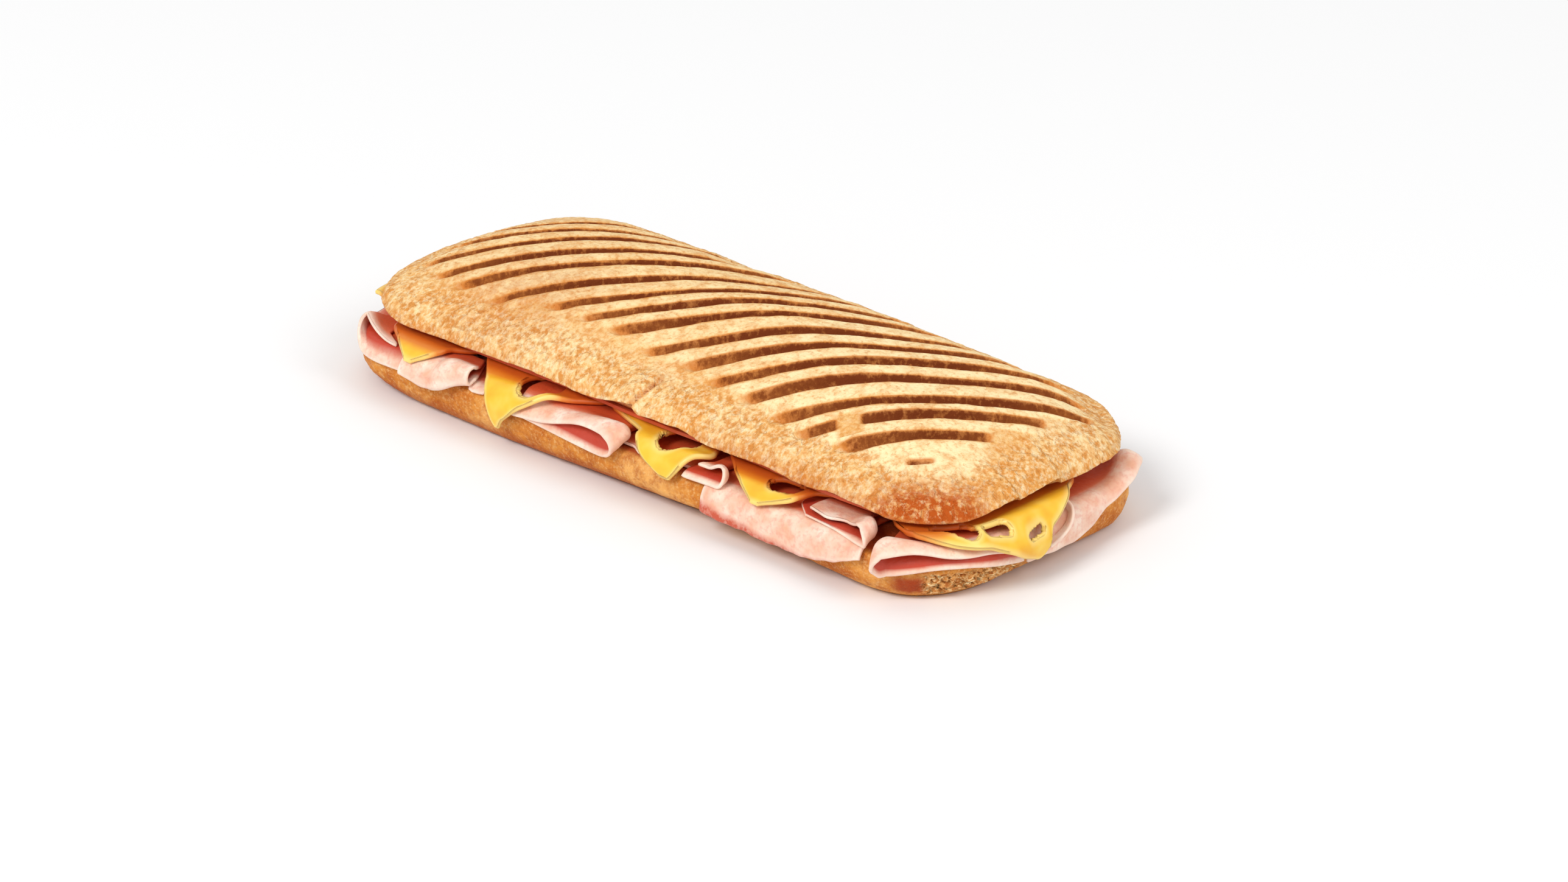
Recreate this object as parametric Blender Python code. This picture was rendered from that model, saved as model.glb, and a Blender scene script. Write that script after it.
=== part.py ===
"""Pressed ham and cheese panini on a long soft loaf, resting on its flat underside.

Millimetres inside the functions, metres in the meshes. +X runs along the loaf to
its near end, -Y is the long side that shows the filling, +Z is up and the origin
is at the middle of the underside.
"""

import math

import bmesh
import bpy
from mathutils import Vector

MM = 0.001

# Bottom bread
BOTTOM_LENGTH = 246.0
BOTTOM_WIDTH = 106.4
BOTTOM_CORNER = 29.2
BOTTOM_SHIFT_Y = -2.2
BOTTOM_TOP = 14.3
BOTTOM_RIM = 3.2

# Along the bottom bread's outline: how far its near end is drawn in, how far its foot is off the ground
TUCK = ((140.0, 0.0), (210.0, 4.2), (255.0, 0.0))
ARCH = ((-140.0, 0.0), (-125.0, 1.4), (-100.0, 1.4), (-85.0, 0.2), (-45.0, 0.0), (15.0, 1.9), (35.0, 2.6),
        (60.0, 1.9), (85.0, 0.9), (110.0, 0.5), (130.0, 1.7), (160.0, 2.3), (190.0, 1.6), (215.0, 0.0))

# Top bread
TOP_LENGTH = 242.2
TOP_WIDTH = 96.4
TOP_CORNER = 31.0
TOP_SHIFT_X = 0.9
TOP_SHIFT_Y = -1.2
TOP_EDGE = 21.7
TOP_UNDERSIDE = 21.9
TOP_SHOULDER_RISE = 6.3
TOP_SHOULDER_REACH = 20.0
TOP_DOME = 12.3
TOP_DOME_POWER_X = 4.8
TOP_DOME_POWER_Y = 1.88
LUMP_HEIGHT = 0.45

# Broad rises and dents of the crown: x, y, radius, rise
SWELLS = ((-104.0, 24.0, 28.0, -1.6), (104.0, 38.0, 22.0, -1.7), (8.0, 36.0, 28.0, 0.8))

# How far the top bread's lower edge is raised along its outline
LIP_REACH = 14.0
LIP_RISE = ((-250.0, 1.2), (-200.0, 0.6), (-150.0, 1.0), (-110.0, 0.8), (-94.0, 0.4), (-83.0, 0.6), (-76.0, 1.1),
            (-68.0, 1.1), (-60.0, 1.5), (-50.0, 1.8), (-43.0, 2.2), (-36.0, 2.3), (-30.0, 1.9), (-24.0, 1.8),
            (-18.0, 1.4), (-12.0, 1.9), (-6.0, 3.1), (0.4, 4.5), (2.2, 3.4), (3.9, 1.8), (9.0, 2.4), (16.0, 2.5),
            (20.0, 2.9), (24.0, 2.6), (28.0, 1.4), (33.0, 1.1), (40.0, 1.4), (47.0, 1.6), (56.0, 2.2), (61.0, 1.4),
            (65.0, 0.9), (71.0, 1.0), (74.0, 1.3), (78.0, 2.2), (86.0, 1.9), (92.0, 1.8), (97.0, 0.9),
            (100.0, 0.0), (116.0, 0.0), (124.0, 0.6), (129.0, 2.2), (134.0, 3.7), (141.0, 4.2), (149.0, 3.5),
            (157.0, 2.5), (162.0, 1.9), (172.0, 2.1), (178.0, 2.6), (186.0, 2.5), (200.0, 1.4), (250.0, 1.0))

# Grill marks pressed into the top bread
GROOVE_ANGLE = math.radians(45.9)
GROOVE_COUNT = 16
GROOVE_FIRST = -76.5
GROOVE_PITCH = 10.58
GROOVE_SHIFT = (-0.3, -0.5, -0.6, 0.5, -0.8, 0.5, 1.2, 0.1,
                -1.3, 0.0, 0.1, 0.2, -0.1, 1.2, -0.7, -1.0)
GROOVE_DEPTH = 1.9
GROOVE_FLOOR = 0.95
GROOVE_LIP = 2.2
GROOVE_RIDGE = 0.35

# Filling
HAM = 1.0
CHEESE = 1.6
LEVEL_A = 0.82
LEVEL_B = 2.14
LEVEL_C = 3.46
LEVEL_D = 5.07
LEVEL_E = 6.67
FLATTEN_DEPTH = 9.0
BEND_REFERENCE = 6.2
LEG_SHARE = 0.32

# Wall of the bottom bread: distance in from the outline, height
BOTTOM_PROFILE = ((6.0, 0.0), (3.0, 1.2), (1.1, 4.0), (0.2, 7.6), (0.0, 10.6), (0.9, 13.2), (3.2, 14.3))


def smooth(low, high, value):
    """Ease from 0 at low to 1 at high."""
    t = min(max((value - low) / (high - low), 0.0), 1.0)
    return t * t * (3.0 - 2.0 * t)


def mix(a, b, t):
    return a + (b - a) * t


def curve(stops, x):
    """Smoothly interpolated value of (position, value) stops."""
    if x <= stops[0][0]:
        return stops[0][1]
    for (x0, y0), (x1, y1) in zip(stops, stops[1:]):
        if x <= x1:
            return mix(y0, y1, smooth(x0, x1, x))
    return stops[-1][1]


def straight(stops, x):
    """Straight-line interpolated value of (position, value) stops."""
    if x <= stops[0][0]:
        return stops[0][1]
    for (x0, y0), (x1, y1) in zip(stops, stops[1:]):
        if x <= x1:
            return mix(y0, y1, (x - x0) / (x1 - x0))
    return stops[-1][1]


def inset_of(x, y, length, width, corner):
    """Distance from (x, y) in to the outline of a rounded rectangle, and the outward direction."""
    qx = abs(x) - (length / 2 - corner)
    qy = abs(y) - (width / 2 - corner)
    if qx > 0 and qy > 0:
        reach = math.hypot(qx, qy)
        nx, ny = qx / reach, qy / reach
    elif qx > qy:
        reach, nx, ny = qx, 1.0, 0.0
    else:
        reach, nx, ny = qy, 0.0, 1.0
    return corner - reach, math.copysign(nx, x), math.copysign(ny, y)


def top_inset(x, y):
    """Distance in to the top bread's outline, and the outward direction."""
    return inset_of(x - TOP_SHIFT_X, y - TOP_SHIFT_Y, TOP_LENGTH, TOP_WIDTH, TOP_CORNER)


def outline_at(p):
    """Point and outward direction at distance p along the bottom bread's outline.

    p is zero at the middle of the front side and grows towards the near end.
    """
    half_x = BOTTOM_LENGTH / 2 - BOTTOM_CORNER
    half_y = BOTTOM_WIDTH / 2 - BOTTOM_CORNER
    arc = BOTTOM_CORNER * math.pi / 2
    half = 2 * half_x + 2 * half_y + 2 * arc
    p = (p + half) % (2 * half) - half
    side = 1.0 if p >= 0 else -1.0
    q = abs(p)
    r = BOTTOM_CORNER
    if q <= half_x:
        x, y, nx, ny = q, -half_y - r, 0.0, -1.0
    elif q <= half_x + arc:
        a = (q - half_x) / r
        nx, ny = math.sin(a), -math.cos(a)
        x, y = half_x + r * nx, -half_y + r * ny
    elif q <= half_x + arc + 2 * half_y:
        x, y, nx, ny = half_x + r, -half_y + (q - half_x - arc), 1.0, 0.0
    elif q <= half_x + 2 * arc + 2 * half_y:
        a = (q - half_x - arc - 2 * half_y) / r
        nx, ny = math.cos(a), math.sin(a)
        x, y = half_x + r * nx, half_y + r * ny
    else:
        x, y, nx, ny = half - q, half_y + r, 0.0, 1.0
    tuck = straight(TUCK, p)
    return side * (x - nx * tuck), y - ny * tuck + BOTTOM_SHIFT_Y, side * nx, ny


def wrap(p, s, lift):
    """Point of a slice lying on the bottom bread and bending down over its rim.

    s is the distance out past the start of the rim and lift the height over the bread.
    """
    x, y, nx, ny = outline_at(p)
    radius = BOTTOM_RIM + lift
    quarter = BEND_REFERENCE * math.pi / 2
    if s <= 0.0:
        inset, z = BOTTOM_RIM - s, BOTTOM_TOP + lift
    elif s <= quarter:
        a = s / BEND_REFERENCE
        inset = BOTTOM_RIM - radius * math.sin(a)
        z = BOTTOM_TOP - BOTTOM_RIM + radius * math.cos(a)
    else:
        inset, z = -lift, BOTTOM_TOP - BOTTOM_RIM - (s - quarter)
    return Vector((x - nx * inset, y - ny * inset, z))


def groove_centre(index):
    return GROOVE_FIRST + GROOVE_PITCH * index + GROOVE_SHIFT[index]


def groove_amount(x, y, inset):
    """How deep a grill mark is at (x, y), from 0 to 1, and how far the ridge is raised."""
    across = x * math.sin(GROOVE_ANGLE) - y * math.cos(GROOVE_ANGLE)
    along = x * math.cos(GROOVE_ANGLE) + y * math.sin(GROOVE_ANGLE)
    index = min(max(round((across - GROOVE_FIRST) / GROOVE_PITCH), 0), GROOVE_COUNT - 1)
    offset = abs(across - groove_centre(index))
    start = 10.5 + 1.3 * math.sin(2.3 * index) + 2.0 * smooth(0.0, -30.0, y)
    reach = smooth(start - 1.5, start + 3.5, inset)
    if index == GROOVE_COUNT - 2:
        reach *= max(smooth(24.0, 22.0, along), smooth(29.0, 32.0, along))
    depth = smooth(GROOVE_LIP, GROOVE_FLOOR, offset) * reach
    ridge = smooth(GROOVE_LIP - 0.4, GROOVE_LIP + 1.5, offset) * reach
    tick = smooth(1.6, 0.4, abs(across - 92.0)) * smooth(5.0, 2.0, abs(along - 45.0))
    return max(depth, 0.5 * tick), ridge


def lump(x, y):
    """Slow uneven swelling of the crust."""
    value = math.sin(x / 17.0 + 0.6) * math.cos(y / 13.0 - 0.4)
    value += 0.7 * math.sin(x / 9.0 - y / 11.0 + 1.9)
    value += 0.5 * math.cos(x / 27.0 + y / 7.5)
    return value * LUMP_HEIGHT


def lip_rise(x, y):
    """How far the top bread's lower edge is raised at the outline's point nearest to (x, y)."""
    half_x = TOP_LENGTH / 2 - TOP_CORNER
    half_y = TOP_WIDTH / 2 - TOP_CORNER
    arc = TOP_CORNER * math.pi / 2
    qx = abs(x - TOP_SHIFT_X) - half_x
    qy = abs(y - TOP_SHIFT_Y) - half_y
    if qx > 0 and qy > 0:
        place = half_x + TOP_CORNER * math.atan2(qx, qy)
    elif qx > qy:
        place = half_x + arc + half_y + min(qy, 0.0)
    else:
        place = half_x + min(qx, 0.0)
    if y > TOP_SHIFT_Y:
        place = 2 * (half_x + half_y + arc) - place
    return straight(LIP_RISE, math.copysign(place, x - TOP_SHIFT_X))


def top_height(x, y):
    """Height of the top bread's crust over (x, y)."""
    inset, nx, ny = top_inset(x, y)
    rise = min(max(inset / TOP_SHOULDER_REACH, 0.0), 1.0)
    shoulder = TOP_SHOULDER_RISE * math.sqrt(1.0 - (1.0 - rise) ** 2)
    dome_x = max(1.0 - abs(2 * (x - TOP_SHIFT_X) / TOP_LENGTH) ** TOP_DOME_POWER_X, 0.0)
    dome_y = max(1.0 - abs(2 * (y - TOP_SHIFT_Y) / TOP_WIDTH) ** TOP_DOME_POWER_Y, 0.0)
    depth, ridge = groove_amount(x, y, inset)
    calm = smooth(0.0, 14.0, inset)
    z = TOP_EDGE + shoulder + TOP_DOME * dome_x * dome_y + lump(x, y) * (0.4 + 0.6 * calm)
    z += 0.75 * lip_rise(x, y) * smooth(LIP_REACH, 0.0, inset)
    for at_x, at_y, radius, rise in SWELLS:
        z += rise * smooth(radius, 0.0, math.hypot(x - at_x, y - at_y)) * smooth(0.0, 5.0, inset)
    return z - GROOVE_DEPTH * depth + GROOVE_RIDGE * ridge


def plan_point(across, along):
    x = across * math.sin(GROOVE_ANGLE) + along * math.cos(GROOVE_ANGLE)
    y = -across * math.cos(GROOVE_ANGLE) + along * math.sin(GROOVE_ANGLE)
    return x, y


def chord(across, inset):
    """Ends of the line that crosses the top bread's inset outline along the grill marks."""
    def inside(along):
        x, y = plan_point(across, along)
        return top_inset(x, y)[0] - inset

    steps = 400
    reach = 150.0
    samples = [(-reach + 2 * reach * i / steps) for i in range(steps + 1)]
    kept = [a for a in samples if inside(a) > 0.0]
    middle = max(samples, key=inside)
    ends = []
    for outer in ((min(kept) if kept else middle) - 1.0, (max(kept) if kept else middle) + 1.0):
        low, high = middle, outer
        for _ in range(40):
            centre = (low + high) / 2
            if inside(centre) > 0.0:
                low = centre
            else:
                high = centre
        ends.append(low)
    return ends


def groove_rows():
    """Positions across the grill marks of the rows of the top bread's mesh."""
    low_tip, high_tip = -104.4, 107.0
    rows = [low_tip, -102.0, -96.0, -90.5, -85.0]
    for index in range(GROOVE_COUNT):
        centre = groove_centre(index)
        rows += [centre - GROOVE_LIP, centre - GROOVE_FLOOR, centre + GROOVE_FLOOR, centre + GROOVE_LIP]
        if index < GROOVE_COUNT - 1:
            rows.append((centre + groove_centre(index + 1)) / 2)
    return rows + [86.5, 90.4, 92.0, 93.6, 98.0, 103.0, high_tip]


def material(name, colour, roughness, metallic=0.0):
    mat = bpy.data.materials.new(name)
    mat.use_nodes = True
    shader = mat.node_tree.nodes["Principled BSDF"]
    shader.inputs["Base Color"].default_value = (*colour, 1.0)
    shader.inputs["Roughness"].default_value = roughness
    shader.inputs["Metallic"].default_value = metallic
    mat.diffuse_color = (*colour, 1.0)
    return mat


def finish(bm, name, mat, collection):
    """Turn a mesh in millimetres into an object in metres."""
    bmesh.ops.recalc_face_normals(bm, faces=bm.faces)
    bmesh.ops.scale(bm, vec=Vector((MM, MM, MM)), verts=bm.verts)
    mesh = bpy.data.meshes.new(name)
    bm.to_mesh(mesh)
    bm.free()
    mesh.materials.append(mat)
    mesh.shade_smooth()
    obj = bpy.data.objects.new(name, mesh)
    collection.objects.link(obj)
    return obj


def bridge(bm, ring_a, ring_b):
    """Quads between two closed rings of equal count."""
    count = len(ring_a)
    for i in range(count):
        j = (i + 1) % count
        bm.faces.new((ring_a[i], ring_a[j], ring_b[j], ring_b[i]))


def build_top_bread(mat, collection):
    bm = bmesh.new()
    border = 1.2
    columns = 13
    rows = groove_rows()
    grid = []
    for r, across in enumerate(rows):
        low, high = chord(across, border)
        line = []
        for c in range(columns + 1):
            t = c / columns
            t = 0.55 * t + 0.45 * (0.5 - 0.5 * math.cos(math.pi * t))
            x, y = plan_point(across, mix(low, high, t))
            if r in (0, len(rows) - 1):
                inset, nx, ny = top_inset(x, y)
                x += nx * (inset - border)
                y += ny * (inset - border)
            line.append(bm.verts.new((x, y, top_height(x, y))))
        grid.append(line)
    for line_a, line_b in zip(grid, grid[1:]):
        for c in range(columns):
            bm.faces.new((line_a[c], line_a[c + 1], line_b[c + 1], line_b[c]))
    edge = list(grid[0])
    edge += [line[-1] for line in grid[1:-1]]
    edge += list(reversed(grid[-1]))
    edge += [line[0] for line in reversed(grid[1:-1])]

    ring = edge
    profile = ((0.1, 22.6, 0.9), (0.6, 21.8, 1.0), (4.5, TOP_UNDERSIDE, 0.0))
    for inset, height, share in profile:
        following = []
        for vert in edge:
            x, y, z = vert.co
            at, nx, ny = top_inset(x, y)
            px, py = x + nx * (at - inset), y + ny * (at - inset)
            following.append(bm.verts.new((px, py, height + share * lip_rise(x, y))))
        bridge(bm, ring, following)
        ring = following
    bm.faces.new(ring)
    return finish(bm, "bread_top", mat, collection)


def build_bottom_bread(mat, collection):
    bm = bmesh.new()
    count = 74
    total = 2 * half_outline()
    rings = []
    for inset, height in BOTTOM_PROFILE:
        ring = []
        for i in range(count):
            p = total * i / count
            x, y, nx, ny = outline_at(p)
            swell = 0.3 + 0.15 * math.sin(x / 8.0 + 2.0) + 0.15 * math.sin(x / 19.0 - y / 6.0)
            arch = straight(ARCH, p if 2 * p < total else p - total) * smooth(8.0, 0.0, height)
            side = smooth(0.0, 3.0, height) * smooth(BOTTOM_TOP, 11.0, height)
            lift = arch if height > 0.0 else 0.0
            tuck = inset + swell * side + (arch * 1.6 if height <= 0.0 else 0.5 * arch)
            ring.append(bm.verts.new((x - nx * tuck, y - ny * tuck, height + lift)))
        rings.append(ring)
    for ring_a, ring_b in zip(rings, rings[1:]):
        bridge(bm, ring_a, ring_b)
    bm.faces.new(rings[0])
    bm.faces.new(rings[-1])
    return finish(bm, "bread_bottom", mat, collection)


def build_sheet(name, rows, thickness, mat, collection, holes=()):
    """Solid slice around a grid of middle points, with round holes cut through it.

    Each hole is (place along the outline, distance out, lift, radius).
    """
    height, width = len(rows), len(rows[0])

    def normal(i, j):
        along = rows[min(i + 1, height - 1)][j] - rows[max(i - 1, 0)][j]
        across = rows[i][min(j + 1, width - 1)] - rows[i][max(j - 1, 0)]
        return along.cross(across).normalized()

    bm = bmesh.new()
    layers = []
    for sign in (0.5, -0.5):
        layer = []
        for i in range(height):
            line = []
            for j in range(width):
                line.append(bm.verts.new(rows[i][j] + normal(i, j) * sign * thickness))
            layer.append(line)
        layers.append(layer)
    for layer in layers:
        for i in range(height - 1):
            for j in range(width - 1):
                bm.faces.new((layer[i][j], layer[i][j + 1], layer[i + 1][j + 1], layer[i + 1][j]))
    borders = []
    for layer in layers:
        border = list(layer[0])
        border += [line[-1] for line in layer[1:-1]]
        border += list(reversed(layer[-1]))
        border += [line[0] for line in reversed(layer[1:-1])]
        borders.append(border)
    bridge(bm, borders[0], borders[1])
    obj = finish(bm, name, mat, collection)
    for index, (p, s, lift, radius) in enumerate(holes):
        point = wrap(p, s, lift)
        cut_round(obj, f"{name}_hole_{index + 1}", point, wrap(p, s, lift + 1.0) - point, radius)
    return obj


def cut_round(obj, name, point, direction, radius):
    """Cut one round hole through a slice."""
    bm = bmesh.new()
    bmesh.ops.create_cone(bm, cap_ends=True, segments=16, radius1=radius, radius2=radius, depth=14.0)
    turn = direction.to_track_quat("Z", "Y").to_matrix().to_4x4()
    bmesh.ops.transform(bm, matrix=turn, verts=bm.verts)
    bmesh.ops.translate(bm, vec=point, verts=bm.verts)
    cutter = finish(bm, name, obj.data.materials[0], cutters)
    cutter.hide_render = True
    cutter.display_type = "WIRE"
    boolean = obj.modifiers.new(name, "BOOLEAN")
    boolean.operation = "DIFFERENCE"
    boolean.solver = "EXACT"
    boolean.object = cutter


def half_outline():
    """Half the length of the bottom bread's outline."""
    straight_part = (BOTTOM_LENGTH + BOTTOM_WIDTH) - 4 * BOTTOM_CORNER
    return straight_part + math.pi * BOTTOM_CORNER


def side_rows(places, lifts, reach, inner, steps, width, inside_steps=2):
    """Rows of middle points from the hanging edge of a slice in to the flat stack.

    For u from 0 to 1 across the slice, reach(u) is how far it hangs out, and for each
    s places(u, s) is the place along the outline and lifts(u, s) the height.
    """
    rows = []
    for i in range(steps + inside_steps + 1):
        line = []
        for j in range(width + 1):
            u = j / width
            rim = min(reach(u) - 0.4, -0.4)
            if i <= steps:
                s = mix(reach(u), rim, i / steps)
            else:
                s = mix(rim, -inner, (i - steps) / inside_steps)
            line.append(wrap(places(u, s), s, lifts(u, s)))
        rows.append(line)
    return rows


def through_rows(front, back, steps=5, width=12, inside_steps=2):
    """A slice that runs from the front side to the back side; each side is (places, lifts, reach)."""
    rows = side_rows(*front, FLATTEN_DEPTH, steps, width, inside_steps)
    places, lifts, reach = back
    half = half_outline()
    behind = side_rows(lambda u, s: half - places(u, s), lifts, reach, FLATTEN_DEPTH, 2, width, inside_steps)
    return rows + list(reversed(behind))


def fold(u, ends, bend, low, high, droop, settle, bulge):
    """Section of a slice folded over: place along the edge and lift, for u from 0 to 1.

    The lower leg runs from the first of the two ends to bend, the round end is centred
    on bend and bulges out past it, and the upper leg comes back to the second end. It
    drops by droop within the first part, settle, of its length.
    """
    radius = (high - low) / 2
    if u <= LEG_SHARE:
        return mix(ends[0], bend, u / LEG_SHARE), low
    if u >= 1 - LEG_SHARE:
        t = (u - 1 + LEG_SHARE) / LEG_SHARE
        return mix(bend, ends[1], t), high - droop * smooth(0.0, settle, t)
    a = (u - LEG_SHARE) / (1 - 2 * LEG_SHARE) * math.pi
    way = math.copysign(1.0, bend - ends[0])
    return bend + way * bulge * radius * math.sin(a), (low + high) / 2 - radius * math.cos(a)


def folded_side(ends, bend, lifts, reach, inside, levels=(LEVEL_B, LEVEL_C), spread=((-5.5, 2.0), (-5.5, 2.0)),
                rise=(-5.5, 2.0), slant=(-5.5, 2.0), lean=0.0, bulge=1.0):
    """Side of a folded slice: open outside the rim, pressed flat into two levels inside.

    ends and bend give the places of the legs and the round end outside the rim, inside
    holds the same for the flat part, and lifts are the low leg, the high leg, its droop and
    the part of the leg that the droop takes. The legs spread, the high leg rises and the
    bend slants between the two distances out given for each, and further out the bend
    leans back.
    """
    low, high, droop, settle = lifts

    def both(u, s):
        out = smooth(*rise, s)
        low_now = mix(levels[0], low, smooth(0.5, 5.0, s))
        high_now = mix(levels[1], high, out)
        legs = [mix(a, b, smooth(*span, s)) for a, b, span in zip(inside[0], ends, spread)]
        turn = mix(inside[1], bend, smooth(*slant, s)) - lean * max(s, 0.0)
        return fold(u, legs, turn, low_now, high_now, droop * out, settle, mix(1.0, bulge, out))

    return (lambda u, s: both(u, s)[0]), (lambda u, s: both(u, s)[1]), reach


def leg_reach(lower_tip, lower_bend, upper_bend, upper_tip):
    """How far each part of a folded slice hangs out."""
    stops = ((0.0, lower_tip), (LEG_SHARE, lower_bend), (1.0 - LEG_SHARE, upper_bend), (1.0, upper_tip))
    return lambda u: curve(stops, u)


def stops_of(stops):
    return lambda u: straight(stops, u)


def corner_side(left, right, reach, lifts):
    """Side of a cheese slice whose corner pokes out.

    left and right are (s, place) stops that close in towards the tip, lifts are
    (s, lift at the left edge, lift at the right edge) stops.
    """
    lifts_left = [(s, a) for s, a, b in lifts]
    lifts_right = [(s, b) for s, a, b in lifts]

    def places(u, s):
        return mix(straight(left, s), straight(right, s), u)

    def lift(u, s):
        return mix(curve(lifts_left, s), curve(lifts_right, s), u)

    return places, lift, lambda u: reach


def build_ham(mat, collection):
    # Fold in the middle of the front, open to the left
    inside = ((-40.0, -40.0), 0.0)
    reach = stops_of(((0.0, 7.0), (0.1, 7.9), (0.2, 8.9), (0.3, 9.8), (0.36, 9.8), (0.42, 8.4), (0.5, 6.2),
                      (0.58, 4.9), (0.68, 4.1), (0.73, 3.7), (0.78, 3.5), (0.82, 4.1), (0.9, 6.3), (1.0, 7.6)))
    front = folded_side((-38.0, -38.0), 2.6, (0.95, 7.2, 4.9, 0.75), reach, inside, lean=0.6, bulge=1.5)
    back = folded_side((-34.0, -34.0), -6.0, (2.3, 5.5, 1.8, 1.0), leg_reach(5.0, 6.0, 3.0, 4.0), inside)
    build_sheet("ham_fold_middle", through_rows(front, back, steps=3, width=15), HAM, mat, collection)

    # Small fold above the long hanging slice
    inside = ((31.0, 35.0), 38.0)
    front = folded_side((30.0, 34.0), 42.6, (2.3, 6.9, 2.0, 0.6), leg_reach(4.8, 4.3, 0.6, 1.0), inside,
                        rise=(-5.0, 2.0), slant=(-6.0, 2.0))
    back = folded_side((34.0, 34.0), 42.0, (2.3, 4.8, 0.6, 1.0), leg_reach(1.5, 2.0, 1.0, 0.5), inside)
    build_sheet("ham_fold_small", through_rows(front, back, steps=2, width=12), HAM, mat, collection)

    # Fold over the right end of the long hanging slice
    inside = ((68.0, 74.0), 88.0)
    reach = stops_of(((0.0, 0.5), (0.15, 1.5), (0.32, 4.0), (0.42, 4.6), (0.5, 4.2), (0.6, 3.0), (0.68, 2.0),
                      (0.75, 0.1), (0.785, -1.4), (0.82, -1.6), (0.89, 0.5), (1.0, -1.3)))
    front = folded_side((75.0, 75.0), 97.0, (2.3, 7.0, 3.1, 0.35), reach, inside, rise=(-9.0, -2.0),
                        slant=(-12.0, 0.0))
    back = folded_side((70.0, 70.0), 88.0, (2.3, 5.0, 0.8, 1.0), leg_reach(3.0, 3.5, 2.0, 1.5), inside)
    build_sheet("ham_fold_right", through_rows(front, back, steps=3, width=14), HAM, mat, collection)

    # Long slice that hangs down to the foot of the bottom bread
    def hang_place(u, s):
        out = smooth(-6.0, 3.0, s)
        return mix(mix(31.0, 38.0, out), mix(91.0, 97.5, out), u)

    def hang_lift(u, s):
        ripple = 0.35 * math.sin(9.0 * u + 0.5) + 0.2 * math.sin(21.0 * u)
        return LEVEL_A + 0.1 + (0.45 + ripple) * smooth(7.0, 13.0, s)

    reach_stops = ((38.0, 13.4), (43.6, 13.9), (49.5, 14.3), (55.4, 14.2), (61.0, 14.9), (73.0, 14.9),
                   (78.6, 14.3), (84.0, 13.3), (90.0, 11.9), (97.0, 8.9))
    front = (hang_place, hang_lift, lambda u: straight(reach_stops, hang_place(u, 9.0)))
    back = (hang_place, hang_lift, lambda u: 6.5 + 1.8 * math.sin(4.0 * u + 1.0))
    build_sheet("ham_hanging", through_rows(front, back, 5, 12, 1), HAM, mat, collection)

    # Flat slice under the left half
    def flat_place(u, s):
        return mix(-91.0, 28.5, u)

    def flat_lift(u, s):
        return LEVEL_A

    def flat_reach(u):
        p = flat_place(u, 0.0)
        tab = smooth(-61.0, -57.0, p) * smooth(-49.0, -53.0, p)
        shelf = smooth(6.0, 11.0, p) * smooth(24.0, 18.0, p)
        return -1.0 + 6.0 * tab + 3.4 * shelf + 0.4 * math.sin(0.4 * p)

    def flat_reach_back(u):
        return 1.5 + 2.0 * math.sin(0.11 * flat_place(u, 0.0) + 1.0)

    sides = ((flat_place, flat_lift, flat_reach), (flat_place, flat_lift, flat_reach_back))
    build_sheet("ham_flat", through_rows(*sides, 2, 16, 1), HAM, mat, collection)

    # Roll along the left front corner, pressed flat towards its left end
    roll = ((0.0, -9.0, LEVEL_B), (0.12, -3.0, LEVEL_B), (0.22, 2.0, 2.45), (0.32, 6.0, 2.45),
            (0.42, 9.3, 2.45), (0.5, 10.2, 3.6), (0.6, 8.6, 5.2), (0.7, 5.6, 6.5),
            (0.8, 2.2, 6.5), (0.88, -1.5, 4.8), (0.94, -5.0, LEVEL_C), (1.0, -9.0, LEVEL_C))
    roll_end = ((-9.0, -63.5), (-4.0, -60.0), (0.0, -57.5), (3.0, -57.0))
    roll_hang = ((-84.0, 0.88), (-77.8, 0.94), (-74.4, 1.0), (-70.5, 0.95), (-65.4, 0.8), (-62.4, 0.6),
                 (-57.0, 0.38))
    rows = []
    length_steps, round_steps = 8, 16
    for i in range(round_steps + 1):
        line = []
        v = i / round_steps
        for j in range(length_steps + 1):
            s = straight([(a, b) for a, b, c in roll], v)
            lift = straight([(a, c) for a, b, c in roll], v)
            p = mix(straight(roll_end, s), -84.0, j / length_steps)
            full = smooth(-72.0, -66.0, p)
            flat = min(lift, 3.1 if v < 0.55 else 3.78)
            line.append(wrap(p, straight(roll_hang, p) * s if s > 0.0 else s, mix(flat, lift, full)))
        rows.append(line)
    build_sheet("ham_roll", rows, HAM, mat, collection)

    # Fold at the far corner, open towards the roll
    inside = ((-87.5, -101.0), -115.5)
    places, lifts, reach = folded_side((-74.0, -91.0), -102.0, (0.95, 6.7, 3.6, 1.0), leg_reach(8.4, 9.3, 0.5, 1.2),
                                       inside, spread=((2.0, 7.0), (-4.0, 1.0)), slant=(-3.0, 6.0))
    build_sheet("ham_fold_far", side_rows(places, lifts, reach, 18.0, 3, 14), HAM, mat, collection)

    # Fold round the near corner, open towards the near end
    reach = stops_of(((0.0, 13.6), (0.15, 9.4), (0.21, 8.8), (0.27, 10.4), (0.32, 12.0), (0.4, 12.6),
                      (0.5, 10.4), (0.6, 8.0), (0.68, 6.6), (0.72, 5.2), (0.755, 4.7), (0.78, 5.1), (0.81, 5.7),
                      (0.86, 6.1), (0.9, 6.1), (0.96, 8.7), (1.0, 10.5)))
    inside = ((146.0, 146.0), 105.5)
    places, lifts, reach = folded_side((147.0, 147.0), 105.5, (0.95, 6.7, 4.1, 0.6), reach, inside,
                                       levels=(LEVEL_A, LEVEL_B), rise=(-3.0, 4.5))
    build_sheet("ham_fold_corner", side_rows(places, lifts, reach, 18.0, 4, 20), HAM, mat, collection)

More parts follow.
